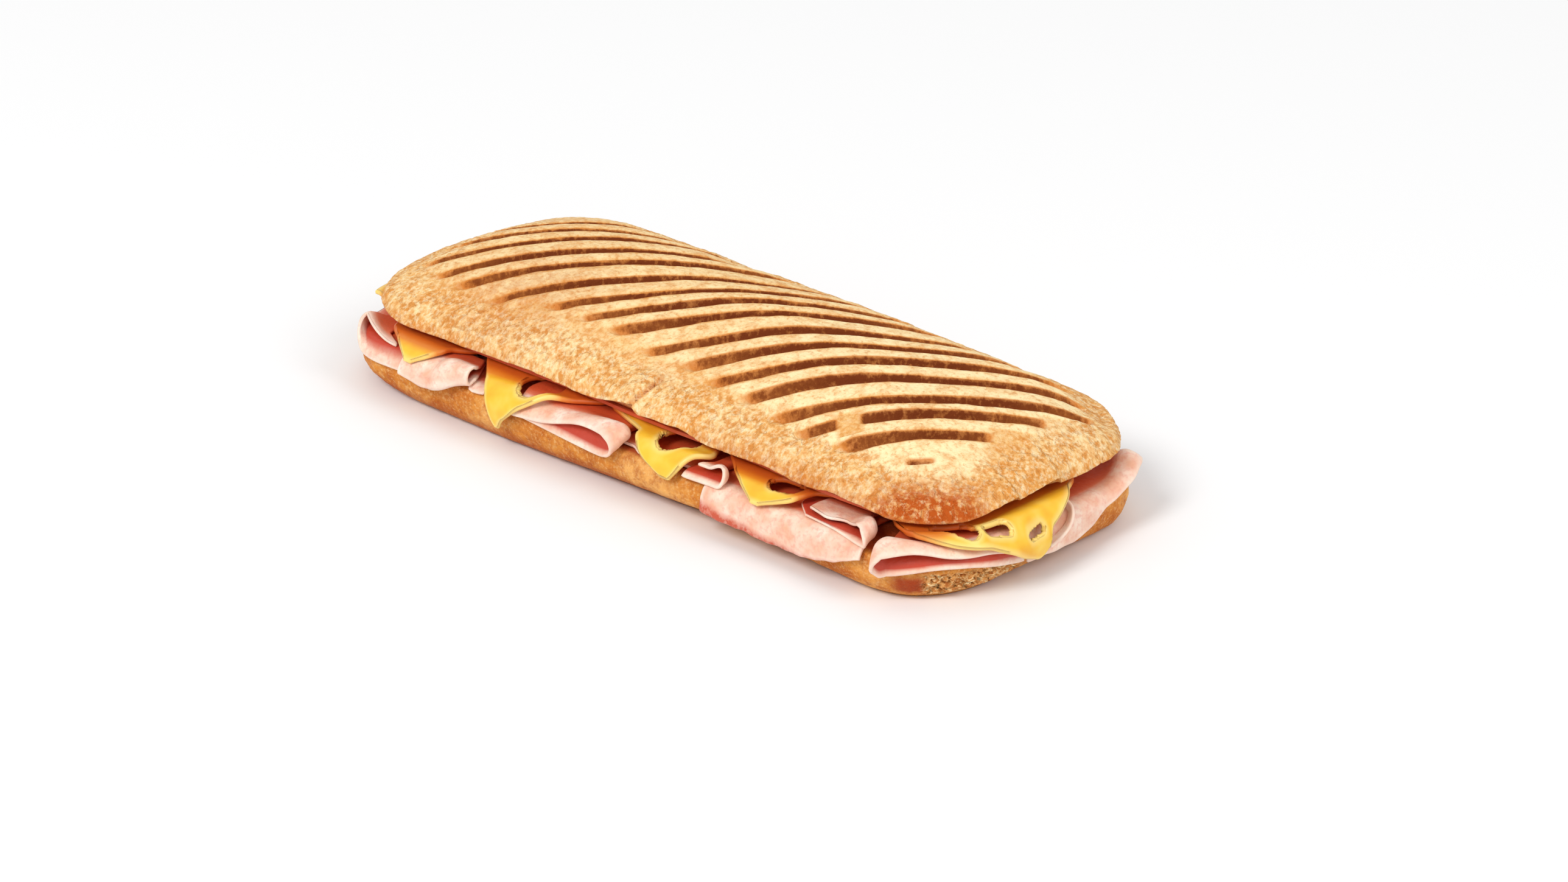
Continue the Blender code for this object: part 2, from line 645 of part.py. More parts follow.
    # Narrow loop that stands on edge over the near end
    loop = ((0.0, 163.5, -9.0), (0.15, 165.0, -3.0), (0.27, 167.3, 1.0), (0.36, 167.5, 3.2), (0.46, 166.2, 5.6),
            (0.58, 163.7, 8.0), (0.7, 160.4, 9.6), (0.84, 157.2, 10.6), (1.0, 154.9, 11.2))
    rows = []
    for i in range(19):
        t = i / 18
        p = straight([(a, b) for a, b, c in loop], t)
        s = straight([(a, c) for a, b, c in loop], t)
        rows.append([wrap(p, s, mix(1.8, 4.0, smooth(0.0, 2.0, j))) for j in range(3)])
    build_sheet("ham_loop", rows, HAM, mat, collection)

    # Slice that hangs over the near end
    def near_place(u, s):
        return mix(149.0, 204.0, u)

    def near_lift(u, s):
        p = near_place(u, s)
        return LEVEL_A + 4.9 * smooth(182.0, 204.0, p) * smooth(-6.0, 2.0, s)

    near_stops = ((149.0, 14.5), (156.0, 14.8), (165.0, 15.2), (174.0, 14.3), (179.0, 11.5), (182.0, 9.8),
                  (186.6, 7.6), (192.4, 5.6), (204.0, 4.6))

    def near_reach(u):
        return straight(near_stops, near_place(u, 0.0))

    rows = side_rows(near_place, near_lift, near_reach, 18.0, 4, 14, 1)
    build_sheet("ham_near_end", rows, HAM, mat, collection)

    # Slice that hangs over the far end
    def far_place(u, s):
        return mix(-96.0, -206.0, u)

    def far_lift(u, s):
        return LEVEL_A + 0.4 * smooth(0.0, 6.0, s) * (1.0 + math.sin(9.0 * u))

    far_stops = ((-206.0, 4.0), (-186.0, 8.5), (-166.0, 6.0), (-152.0, 3.0), (-142.0, -0.5), (-127.0, -1.2),
                 (-121.0, 1.8), (-116.5, 3.2), (-113.5, 1.8), (-111.0, -1.0))
    rows = side_rows(far_place, far_lift, lambda u: straight(far_stops, far_place(u, 0.0)), 18.0, 3, 16, 1)
    build_sheet("ham_far_end", rows, HAM, mat, collection)

    # Slice pressed under the top bread
    rows = []
    for i in range(15):
        line = []
        x = mix(-111.5, 111.5, i / 14)
        for j in range(5):
            half = TOP_WIDTH / 2 - 4.2 + 0.6 * math.sin(x / 5.0) + 0.5 * math.sin(x / 11.0 + 1.0)
            past = max(abs(x) - (TOP_LENGTH / 2 - TOP_CORNER), 0.0)
            half -= TOP_CORNER - math.sqrt(max(TOP_CORNER ** 2 - past ** 2, 0.0))
            y = mix(-half, half, j / 4)
            line.append(Vector((x + TOP_SHIFT_X, y + TOP_SHIFT_Y, BOTTOM_TOP + LEVEL_E)))
        rows.append(line)
    build_sheet("ham_upper", rows, HAM, mat, collection)


def build_cheese(mat, collection):
    # Corner over the rolled ham
    front = corner_side(((-9.0, -104.0), (-4.7, -99.7), (0.8, -89.9), (4.4, -82.3), (5.0, -81.1)),
                        ((-9.0, -66.0), (-4.3, -72.4), (-0.4, -72.4), (1.5, -73.6), (3.7, -76.8), (5.0, -80.0)),
                        5.0,
                        ((-9.0, LEVEL_D, LEVEL_D), (-6.5, LEVEL_D, LEVEL_D), (-2.0, 5.75, 5.75),
                         (5.0, 5.45, 5.45)))
    back = corner_side(((-9.0, -104.0), (-4.0, -98.0), (3.0, -88.0)), ((-9.0, -62.0), (3.0, -84.0)), 3.0,
                       ((-9.0, LEVEL_D, LEVEL_D), (-4.5, LEVEL_D, LEVEL_D), (3.0, 3.6, 3.6)))
    build_sheet("cheese_left", through_rows(front, back, steps=3, width=8), CHEESE, mat, collection)

    # Long corner that hangs down the bottom bread
    front = corner_side(((-9.0, -62.0), (-6.3, -59.6), (-2.6, -55.6), (2.6, -50.8), (6.6, -47.7), (10.8, -45.6),
                         (13.2, -43.8)),
                        ((-9.0, -14.0), (-4.5, -20.0), (-2.1, -23.2), (0.4, -26.8), (2.8, -30.0), (5.4, -34.2),
                         (9.2, -39.5), (10.8, -41.2), (13.2, -42.8)),
                        13.2,
                        ((-9.0, LEVEL_D, LEVEL_D), (-4.5, LEVEL_D, LEVEL_D), (0.0, 3.8, 5.9), (5.0, 3.2, 4.6),
                         (9.7, 2.6, 3.2), (13.2, 2.4, 2.4)))
    back = corner_side(((-9.0, -60.0), (5.0, -52.0)), ((-9.0, -14.0), (-5.0, -38.0), (5.0, -49.0)), 5.0,
                       ((-9.0, LEVEL_D, LEVEL_D), (-4.5, LEVEL_D, LEVEL_D), (5.0, 2.8, 2.8)))
    holes = ((-34.5, -4.6, LEVEL_D, 7.0),)
    build_sheet("cheese_long", through_rows(front, back, steps=5, width=9), CHEESE, mat, collection, holes)

    # Corner with a large hole in the middle of the front
    front = corner_side(((-9.0, -11.0), (-5.5, 0.0), (-3.5, 6.6), (0.0, 8.0), (4.0, 14.0), (7.4, 24.0)),
                        ((-9.0, 32.0), (-4.5, 34.5), (0.0, 32.0), (4.0, 29.0), (7.4, 26.0)), 7.4,
                        ((-9.0, LEVEL_D, LEVEL_D), (-4.5, LEVEL_D, LEVEL_D), (0.0, 5.2, 5.8),
                         (7.4, 2.6, 2.6)))
    back = corner_side(((-9.0, -9.0), (-6.0, 1.6), (8.0, 9.0)), ((-9.0, 32.0), (8.0, 13.0)), 8.0,
                       ((-9.0, LEVEL_D, LEVEL_D), (-4.5, LEVEL_D, LEVEL_D), (8.0, 2.6, 2.6)))
    holes = ((20.5, -5.2, LEVEL_D, 6.8),)
    build_sheet("cheese_middle", through_rows(front, back, steps=4, width=9), CHEESE, mat, collection, holes)

    # Corner over the long hanging slice
    front = corner_side(((-9.0, 36.5), (-6.3, 40.0), (-2.2, 44.9), (1.1, 50.5), (3.0, 54.5), (4.6, 57.9)),
                        ((-9.0, 76.0), (-7.3, 71.6), (-3.7, 70.6), (0.6, 68.5), (3.0, 63.5), (4.6, 59.2)), 4.6,
                        ((-9.0, LEVEL_D, LEVEL_D), (-4.5, LEVEL_D, LEVEL_D), (4.6, 3.6, 3.6)))
    back = corner_side(((-9.0, 36.0), (-5.0, 50.0), (2.0, 57.0)),
                       ((-9.0, 84.0), (-5.0, 67.0), (2.0, 61.0)), 2.0,
                       ((-9.0, LEVEL_D, LEVEL_D), (-4.5, LEVEL_D, LEVEL_D), (2.0, 3.8, 3.8)))
    holes = ((61.0, -3.9, LEVEL_D, 3.6), (65.0, -4.6, LEVEL_D, 3.2))
    build_sheet("cheese_right", through_rows(front, back, steps=3, width=9), CHEESE, mat, collection, holes)

    # Slice that lies round the near corner with its own corner over the near end
    near_stops = ((101.0, -9.0), (103.6, -6.6), (108.2, -3.5), (113.2, 1.1), (118.4, 2.6), (123.5, 3.9),
                  (128.3, 4.8), (132.9, 5.5), (138.1, 7.7), (144.0, 10.3), (150.1, 12.9), (152.4, 12.0),
                  (153.4, 8.9), (154.7, 6.2), (159.0, 4.9), (165.8, 2.5), (176.4, -3.2), (178.0, -5.0))

    def near_place(u, s):
        return mix(101.0, 178.0, u)

    def near_lift(u, s):
        return curve(((-9.0, LEVEL_D), (-3.0, LEVEL_D), (2.0, 6.3), (7.0, 5.3), (12.8, 3.8)), s)

    rows = side_rows(near_place, near_lift, lambda u: straight(near_stops, near_place(u, 0.0)), 18.0, 4, 22)
    holes = ((120.0, -2.7, 5.8, 2.6), (124.3, -1.7, 5.8, 3.1), (128.6, -0.6, 5.8, 3.5),
             (134.6, 2.1, 5.8, 1.6), (138.6, 2.6, 5.8, 1.9), (148.8, 5.6, 5.4, 2.0))
    build_sheet("cheese_near_end", rows, CHEESE, mat, collection, holes)

    # Corner that pokes out at the far end
    front = corner_side(((-14.0, -122.0), (0.8, -130.0)), ((-14.0, -158.0), (0.8, -136.0)), 0.8,
                        ((-9.0, LEVEL_D, LEVEL_D), (-4.5, LEVEL_D, LEVEL_D), (0.8, 6.2, 6.2)))
    build_sheet("cheese_far_end", side_rows(*front, 14.0, 3, 6), CHEESE, mat, collection)


for old in list(bpy.data.objects):
    bpy.data.objects.remove(old, do_unlink=True)
panini = bpy.data.collections.new("panini")
bpy.context.scene.collection.children.link(panini)
cutters = bpy.data.collections.new("cutters")
bpy.context.scene.collection.children.link(cutters)

crust = material("crust", (0.78, 0.50, 0.22), 0.75)
crust_bottom = material("crust_bottom", (0.62, 0.33, 0.10), 0.7)
ham_pink = material("ham", (0.87, 0.55, 0.48), 0.45)
cheese_yellow = material("cheese", (0.93, 0.68, 0.12), 0.4)

build_top_bread(crust, panini)
build_bottom_bread(crust_bottom, panini)
build_ham(ham_pink, panini)
build_cheese(cheese_yellow, panini)
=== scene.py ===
"""Looks of the pressed ham and cheese panini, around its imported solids.

Distances inside the functions are millimetres, and the meshes are metres.
"""

import math

import bpy
import numpy as np
from mathutils import Matrix, Vector, noise


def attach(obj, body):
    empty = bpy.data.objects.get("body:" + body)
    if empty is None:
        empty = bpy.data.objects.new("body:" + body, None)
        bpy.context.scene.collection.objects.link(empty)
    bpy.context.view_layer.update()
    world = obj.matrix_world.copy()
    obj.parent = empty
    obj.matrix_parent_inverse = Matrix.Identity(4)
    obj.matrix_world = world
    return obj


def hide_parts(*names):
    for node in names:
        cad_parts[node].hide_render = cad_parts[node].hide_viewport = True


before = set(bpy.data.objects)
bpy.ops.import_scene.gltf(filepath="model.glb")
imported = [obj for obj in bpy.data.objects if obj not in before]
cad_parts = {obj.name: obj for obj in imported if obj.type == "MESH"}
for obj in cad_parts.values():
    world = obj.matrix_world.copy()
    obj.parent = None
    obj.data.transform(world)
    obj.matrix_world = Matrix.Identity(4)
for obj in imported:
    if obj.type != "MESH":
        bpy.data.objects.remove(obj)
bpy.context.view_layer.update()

MM = 0.001

# Breads, as in the solids but for TUCK and ARCH (by distance along the outline)
BOTTOM_LENGTH = 246.0
BOTTOM_WIDTH = 106.4
BOTTOM_CORNER = 29.2
BOTTOM_SHIFT_Y = -2.2
BOTTOM_TOP = 14.3
BOTTOM_RIM = 3.2
TUCK = ((168.0, 0.0), (190.0, 1.0), (210.0, 4.2), (225.0, 4.2), (262.0, 0.0))
ARCH = ((-140.0, 0.0), (-125.0, 1.4), (-100.0, 1.4), (-85.0, 0.2), (-45.0, 0.0), (15.0, 1.9), (35.0, 2.6),
        (60.0, 1.9), (85.0, 0.9), (110.0, 0.5), (130.0, 1.2), (160.0, 1.2), (185.0, 0.3), (200.0, 0.0))
TOP_LENGTH = 242.2
TOP_WIDTH = 96.4
TOP_CORNER = 31.0
TOP_SHIFT_X = 0.9
TOP_SHIFT_Y = -1.2
TOP_EDGE = 21.7
TOP_SHOULDER_RISE = 6.3
TOP_SHOULDER_REACH = 20.0
TOP_DOME = 12.3
TOP_DOME_POWER_X = 4.8
TOP_DOME_POWER_Y = 1.88
LUMP_HEIGHT = 0.45

# Swells and dips of the crown: x, y, radius and height
SWELLS = ((-104.0, 24.0, 28.0, -1.6), (104.0, 38.0, 22.0, -2.4), (8.0, 36.0, 28.0, 0.8),
          (-36.0, 36.0, 14.0, -1.5), (75.0, 40.0, 16.0, -0.9), (-112.0, 8.0, 26.0, -0.8))

# Rise of the top bread's lower edge along its outline, and how far in it fades
LIP_REACH = 14.0
LIP_RISE = ((-250.0, 1.2), (-200.0, 0.6), (-150.0, 1.0), (-110.0, 0.8), (-94.0, 0.4), (-83.0, 0.6),
            (-76.0, 1.1), (-68.0, 1.1), (-60.0, 1.5), (-50.0, 1.8), (-43.0, 2.2), (-36.0, 2.3),
            (-30.0, 1.9), (-24.0, 1.8), (-18.0, 1.4), (-12.0, 1.9), (-6.0, 3.1), (0.4, 4.5), (2.2, 3.4),
            (3.9, 1.8), (9.0, 2.4), (16.0, 2.5), (20.0, 2.9), (24.0, 2.6), (28.0, 1.4), (33.0, 1.1),
            (40.0, 1.4), (47.0, 1.6), (56.0, 2.2), (61.0, 1.4), (65.0, 0.9), (71.0, 1.0), (74.0, 1.3),
            (78.0, 2.2), (86.0, 1.9), (92.0, 1.8), (97.0, 0.9), (100.0, 0.0), (116.0, 0.0),
            (124.0, 0.6), (129.0, 2.2), (134.0, 3.7), (141.0, 4.2), (149.0, 3.5), (157.0, 2.5),
            (162.0, 1.9), (172.0, 2.1), (178.0, 2.6), (186.0, 2.5), (200.0, 1.4), (250.0, 1.0))

# Grill marks; each has a shift across and starts further in
GROOVE_ANGLE = math.radians(45.9)
GROOVE_COUNT = 16
GROOVE_FIRST = -76.5
GROOVE_PITCH = 10.58
GROOVE_SHIFT = np.array((-0.3, -0.5, -0.6, 0.5, -0.8, 0.5, 1.2, 0.1,
                         -1.3, 0.0, 0.1, 0.2, -0.1, 1.2, -0.7, -1.0))
GROOVE_START = np.array((0.0, 0.0, 1.0, 2.0, 1.5, 1.9, 4.0, 5.7,
                         5.7, 2.1, 5.3, 1.5, 0.0, 0.0, -4.4, -2.6))
GROOVE_DEPTH = 2.0
GROOVE_FLOOR = 0.7
GROOVE_LIP = 2.2
GROOVE_RIDGE = 0.4
LAST_GROOVE = GROOVE_COUNT - 1
BROKEN_GROOVE = GROOVE_COUNT - 2

# A short mark beyond the last groove
TICK_ACROSS = 92.0
TICK_ALONG = 45.0

# Meshes and relief of the breads; each relief is coarse and fine
TOP_BORDER = 1.2
TOP_ROW_STEP = 0.47
TOP_COLUMNS = 172
WALL_RELIEF = (0.30, 0.26)
CROWN_RELIEF = (0.10, 0.07)
CREASE_DEPTH = 0.9
CREASE_SWELL = 0.55
DRAWN_CORNER = (114.0, 42.0)
DRAWN_IN = 2.6
BROWNED_CORNER = (108.0, -38.5)
BROWNED_FRONT = (-62.0, -28.0)
BOTTOM_COLUMNS = 900
BOTTOM_STEPS = 46

# Distance in from the outline and height up the lower bread's side
BOTTOM_PROFILE = ((6.0, 0.0), (3.0, 1.2), (1.1, 4.0), (0.2, 7.6), (0.0, 10.6), (0.9, 13.2), (3.2, 14.3))

# Filling, as in the solids
HAM = 1.0
CHEESE = 1.6
LEVEL_A = 0.82
LEVEL_B = 2.14
LEVEL_C = 3.46
LEVEL_D = 5.07
BEND_REFERENCE = 6.2
LEG_SHARE = 0.32

# Where slices lie flat, and where corners do: distance out and both edges' heights
FLATTEN_DEPTH = 18.0
PRESSED = ((-9.0, LEVEL_D, LEVEL_D), (-4.5, LEVEL_D, LEVEL_D))

# Round edge of a slice, as shares of its thickness
RIM_SHRINK = 0.18
RIM_SIDE = 0.27
RIM_OUT = 0.16

# Where the lamps point, and the camera, fitted to the photograph's outline; places in metres
AIM = (0.0, 0.0, 0.02)
AZIMUTH = math.radians(43.783)
ELEVATION = math.radians(24.601)
DISTANCE = 1.5
SHIFT_RIGHT = 0.011285
SHIFT_UP = -0.020283
SENSOR_WIDTH = 36.0
FOCAL_PIXELS = 8529.0
IMAGE_PIXELS = 2576.0

# Half of the way round the bottom bread's outline
HALF_OUTLINE = BOTTOM_LENGTH + BOTTOM_WIDTH - 4 * BOTTOM_CORNER + math.pi * BOTTOM_CORNER


def smooth(low, high, value):
    """Smooth step from 0 at low to 1 at high, which may also be below low."""
    t = np.clip((value - low) / (high - low), 0.0, 1.0)
    return t * t * (3.0 - 2.0 * t)


def mix(a, b, t):
    return a + (b - a) * t


def straight(stops, x):
    """Straight-line interpolated value of (position, value) stops."""
    places, values = zip(*stops)
    return np.interp(x, places, values)


def curve(stops, x):
    """Smoothly interpolated value of (position, value) stops."""
    places = np.array([a for a, b in stops], float)
    values = np.array([b for a, b in stops], float)
    x = np.asarray(x, float)
    i = np.clip(np.searchsorted(places, x) - 1, 0, len(places) - 2)
    t = np.clip((x - places[i]) / (places[i + 1] - places[i]), 0.0, 1.0)
    return mix(values[i], values[i + 1], t * t * (3.0 - 2.0 * t))


def rounded(stops, x, width):
    """Straight-line stops with their corners rounded over a width."""
    parts = [straight(stops, x + width * k) for k in (-1.0, -0.5, 0.0, 0.5, 1.0)]
    return sum(parts) / len(parts)


def unit(vectors):
    """The vectors at length 1."""
    return vectors / np.maximum(np.linalg.norm(vectors, axis=-1), 1e-9)[..., None]


def grain(points, size, seed=0.0, octaves=3):
    """Smooth noise from about -1 to 1 at each point; size is its wavelength."""
    out = np.empty(len(points))
    for i, (x, y, z) in enumerate(points):
        out[i] = noise.fractal((x / size[0] + seed, y / size[1], z / size[2] - seed), 0.8, 2.1, octaves)
    return out


def inset_of(x, y, length, width, corner):
    """Distance from (x, y) in to a rounded rectangle's outline, and the outward direction."""
    qx = np.abs(x) - (length / 2 - corner)
    qy = np.abs(y) - (width / 2 - corner)
    diagonal = np.hypot(qx, qy)
    in_corner = (qx > 0) & (qy > 0)
    along_x = qx > qy
    reach = np.where(in_corner, diagonal, np.where(along_x, qx, qy))
    safe = np.maximum(diagonal, 1e-9)
    nx = np.where(in_corner, qx / safe, np.where(along_x, 1.0, 0.0))
    ny = np.where(in_corner, qy / safe, np.where(along_x, 0.0, 1.0))
    return corner - reach, np.copysign(nx, x), np.copysign(ny, y)


def top_inset(x, y):
    """Distance in from the top bread's outline, and the outward direction."""
    return inset_of(x - TOP_SHIFT_X, y - TOP_SHIFT_Y, TOP_LENGTH, TOP_WIDTH, TOP_CORNER)


def outline_at(p):
    """Point and outward direction at distance p along the bottom bread's outline.

    p is zero at the middle of the front side and grows towards the near end.
    """
    half_x = BOTTOM_LENGTH / 2 - BOTTOM_CORNER
    half_y = BOTTOM_WIDTH / 2 - BOTTOM_CORNER
    r = BOTTOM_CORNER
    arc = r * math.pi / 2
    p = (np.asarray(p, float) + HALF_OUTLINE) % (2 * HALF_OUTLINE) - HALF_OUTLINE
    side = np.where(p >= 0, 1.0, -1.0)
    q = np.abs(p)
    turn = np.clip(q - half_x, 0.0, arc) + np.clip(q - half_x - arc - 2 * half_y, 0.0, arc)
    angle = turn / r
    run_y = np.clip(q - half_x - arc, 0.0, 2 * half_y)
    back = np.clip(q - half_x - 2 * arc - 2 * half_y, 0.0, None)
    tuck = straight(TUCK, p)
    x = np.clip(q, 0.0, half_x) - back + (r - tuck) * np.sin(angle)
    y = -half_y + run_y - (r - tuck) * np.cos(angle)
    return side * x, y + BOTTOM_SHIFT_Y, side * np.sin(angle), -np.cos(angle)


def wrap(p, s, lift):
    """Points of a slice lying on the bottom bread and bending down over its rim."""
    x, y, nx, ny = outline_at(p)
    radius = BOTTOM_RIM + lift
    quarter = BEND_REFERENCE * math.pi / 2
    a = np.clip(s / BEND_REFERENCE, 0.0, math.pi / 2)
    inset = np.where(s <= 0.0, BOTTOM_RIM - s, BOTTOM_RIM - radius * np.sin(a))
    z = BOTTOM_TOP - BOTTOM_RIM + radius * np.cos(a) - np.maximum(s - quarter, 0.0)
    return np.stack((x - nx * inset, y - ny * inset, z), axis=-1)


def lump(x, y):
    """Slow uneven swelling of the crust."""
    value = np.sin(x / 17.0 + 0.6) * np.cos(y / 13.0 - 0.4)
    value += 0.7 * np.sin(x / 9.0 - y / 11.0 + 1.9)
    value += 0.5 * np.cos(x / 27.0 + y / 7.5)
    return value * LUMP_HEIGHT


def lip_rise(x, y):
    """How far the top bread's lower edge is raised at the outline's point nearest to (x, y)."""
    half_x = TOP_LENGTH / 2 - TOP_CORNER
    half_y = TOP_WIDTH / 2 - TOP_CORNER
    arc = TOP_CORNER * math.pi / 2
    qx = np.abs(x - TOP_SHIFT_X) - half_x
    qy = np.abs(y - TOP_SHIFT_Y) - half_y
    place = np.where(qx > qy, half_x + arc + half_y + np.minimum(qy, 0.0), half_x + np.minimum(qx, 0.0))
    place = np.where((qx > 0) & (qy > 0), half_x + TOP_CORNER * np.arctan2(qx, qy), place)
    place = np.where(y > TOP_SHIFT_Y, 2 * (half_x + half_y + arc) - place, place)
    place = np.copysign(place, x - TOP_SHIFT_X)
    return rounded(LIP_RISE, place, mix(0.7, 4.0, smooth(96.0, 104.0, place)))


def crease(x, y, z):
    """Distance past the crease up the front side, and its strength, which fades with height."""
    line = 1.0 + 4.0 * smooth(22.0, 32.0, z)
    return x - line, smooth(-32.0, -40.0, y) * smooth(34.5, 30.0, z)


def grooves(x, y, inset):
    """Depth of the grill marks, their ridge, how charred they are and their lighter floor, up to 1."""
    across = x * math.sin(GROOVE_ANGLE) - y * math.cos(GROOVE_ANGLE)
    along = x * math.cos(GROOVE_ANGLE) + y * math.sin(GROOVE_ANGLE)
    index = np.clip(np.round((across - GROOVE_FIRST) / GROOVE_PITCH), 0, LAST_GROOVE).astype(int)
    centre = GROOVE_FIRST + GROOVE_PITCH * index + GROOVE_SHIFT[index]
    wave = 0.28 * np.sin(along / 4.1 + 1.7 * index) + 0.2 * np.sin(along / 1.9 + 2.9 * index)
    offset = across - centre - 0.4 * wave
    width = 1.0 + 0.16 * np.sin(along / 13.0 + 2.1 * index) + 0.12 * wave
    width *= 0.8 + 0.2 * smooth(5.0, 11.0, index)
    start = 10.5 + 1.3 * np.sin(2.3 * index) + (2.0 + GROOVE_START[index]) * smooth(0.0, -25.0, y)
    reach = smooth(start - 1.5, start + 3.0, inset)
    broken = np.maximum(smooth(24.0, 22.0, along), smooth(29.0, 32.0, along))
    reach = np.where(index == BROKEN_GROOVE, reach * broken * smooth(82.5, 77.5, along), reach)
    reach = np.where(index == LAST_GROOVE, reach * smooth(67.0, 61.0, along), reach)
    depth = smooth(GROOVE_LIP, GROOVE_FLOOR, np.abs(offset) / width) * reach
    ridge = smooth(1.9, 3.5, np.abs(offset)) * reach
    tick = smooth(1.5, 0.3, np.abs(across - TICK_ACROSS)) * smooth(5.0, 2.0, np.abs(along - TICK_ALONG))
    # The dark of each mark reaches further on its far side, and its floor is lighter on the near side
    side = np.where(offset > 0.0, 2.7, 3.05)
    char = smooth(side, side - 1.3, np.abs(offset) / width) * smooth(start - 1.5, start + 6.0, inset)
    char = np.where(index >= BROKEN_GROOVE, char * np.minimum(1.3 * reach, 1.0), char)
    floor = smooth(-0.7, 0.3, offset / width) * smooth(1.5, 0.8, offset / width)
    floor = np.maximum(floor, 0.6 * smooth(start + 22.0, start + 4.0, inset)) * char
    return np.maximum(depth, 0.5 * tick), ridge, np.maximum(char, 0.8 * tick), floor


def top_height(x, y):
    """Height of the top bread's crust over (x, y), and how charred it is."""
    inset = top_inset(x, y)[0]
    rise = np.clip(inset / TOP_SHOULDER_REACH, 0.0, 1.0)
    shoulder = TOP_SHOULDER_RISE * np.sqrt(1.0 - (1.0 - rise) ** 2)
    dome_x = np.maximum(1.0 - np.abs(2 * (x - TOP_SHIFT_X) / TOP_LENGTH) ** TOP_DOME_POWER_X, 0.0)
    dome_y = np.maximum(1.0 - np.abs(2 * (y - TOP_SHIFT_Y) / TOP_WIDTH) ** TOP_DOME_POWER_Y, 0.0)
    depth, ridge, char, _ = grooves(x, y, inset)
    calm = smooth(0.0, 14.0, inset)
    z = TOP_EDGE + shoulder + TOP_DOME * dome_x * dome_y + lump(x, y) * (0.4 + 0.6 * calm)
    z += 0.75 * lip_rise(x, y) * smooth(LIP_REACH, 0.0, inset)
    for at_x, at_y, radius, rise in SWELLS:
        z += rise * smooth(radius, 0.0, np.hypot(x - at_x, y - at_y)) * smooth(0.0, 5.0, inset)
    return z - GROOVE_DEPTH * depth + GROOVE_RIDGE * ridge, char


def plan_point(across, along):
    """Point at distances across the grill marks and along them."""
    x = across * math.sin(GROOVE_ANGLE) + along * math.cos(GROOVE_ANGLE)
    y = -across * math.cos(GROOVE_ANGLE) + along * math.sin(GROOVE_ANGLE)
    return x, y


def chord(across, inset):
    """Ends of the line that crosses the top bread's inset outline along the grill marks."""
    outside = 150.0
    samples = np.linspace(-outside, outside, 601)
    grid = top_inset(*plan_point(across[:, None], samples[None, :]))[0]
    middle = samples[np.argmax(grid, axis=1)]
    ends = []
    for outer in (-outside, outside):
        inner, far = middle, np.full_like(across, outer)
        for _ in range(30):
            centre = (inner + far) / 2
            inside = top_inset(*plan_point(across, centre))[0] > inset
            inner = np.where(inside, centre, inner)
            far = np.where(inside, far, centre)
        ends.append(inner)
    return ends


def add(name, data):
    obj = bpy.data.objects.new(name, data)
    bpy.context.scene.collection.objects.link(obj)
    return obj


def new_object(name, points, faces, mat, node, attributes):
    """Mesh piece in the row frame that stands for a solid of the same place."""
    mesh = bpy.data.meshes.new(name)
    mesh.from_pydata((np.asarray(points) * MM).tolist(), [], faces)
    for key, values in attributes.items():
        layer = mesh.attributes.new(key, "FLOAT", "POINT")
        layer.data.foreach_set("value", np.asarray(values, np.float32))
    mesh.materials.append(mat)
    mesh.update()
    mesh.shade_smooth()
    obj = add(name, mesh)
    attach(obj, "root")
    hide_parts(node)


def grid_faces(rows, cols):
    """Quads of a grid whose points are numbered row by row."""
    i, j = np.meshgrid(np.arange(rows - 1), np.arange(cols - 1), indexing="ij")
    a = (i * cols + j).ravel()
    return np.stack((a, a + cols, a + cols + 1, a + 1), axis=1)


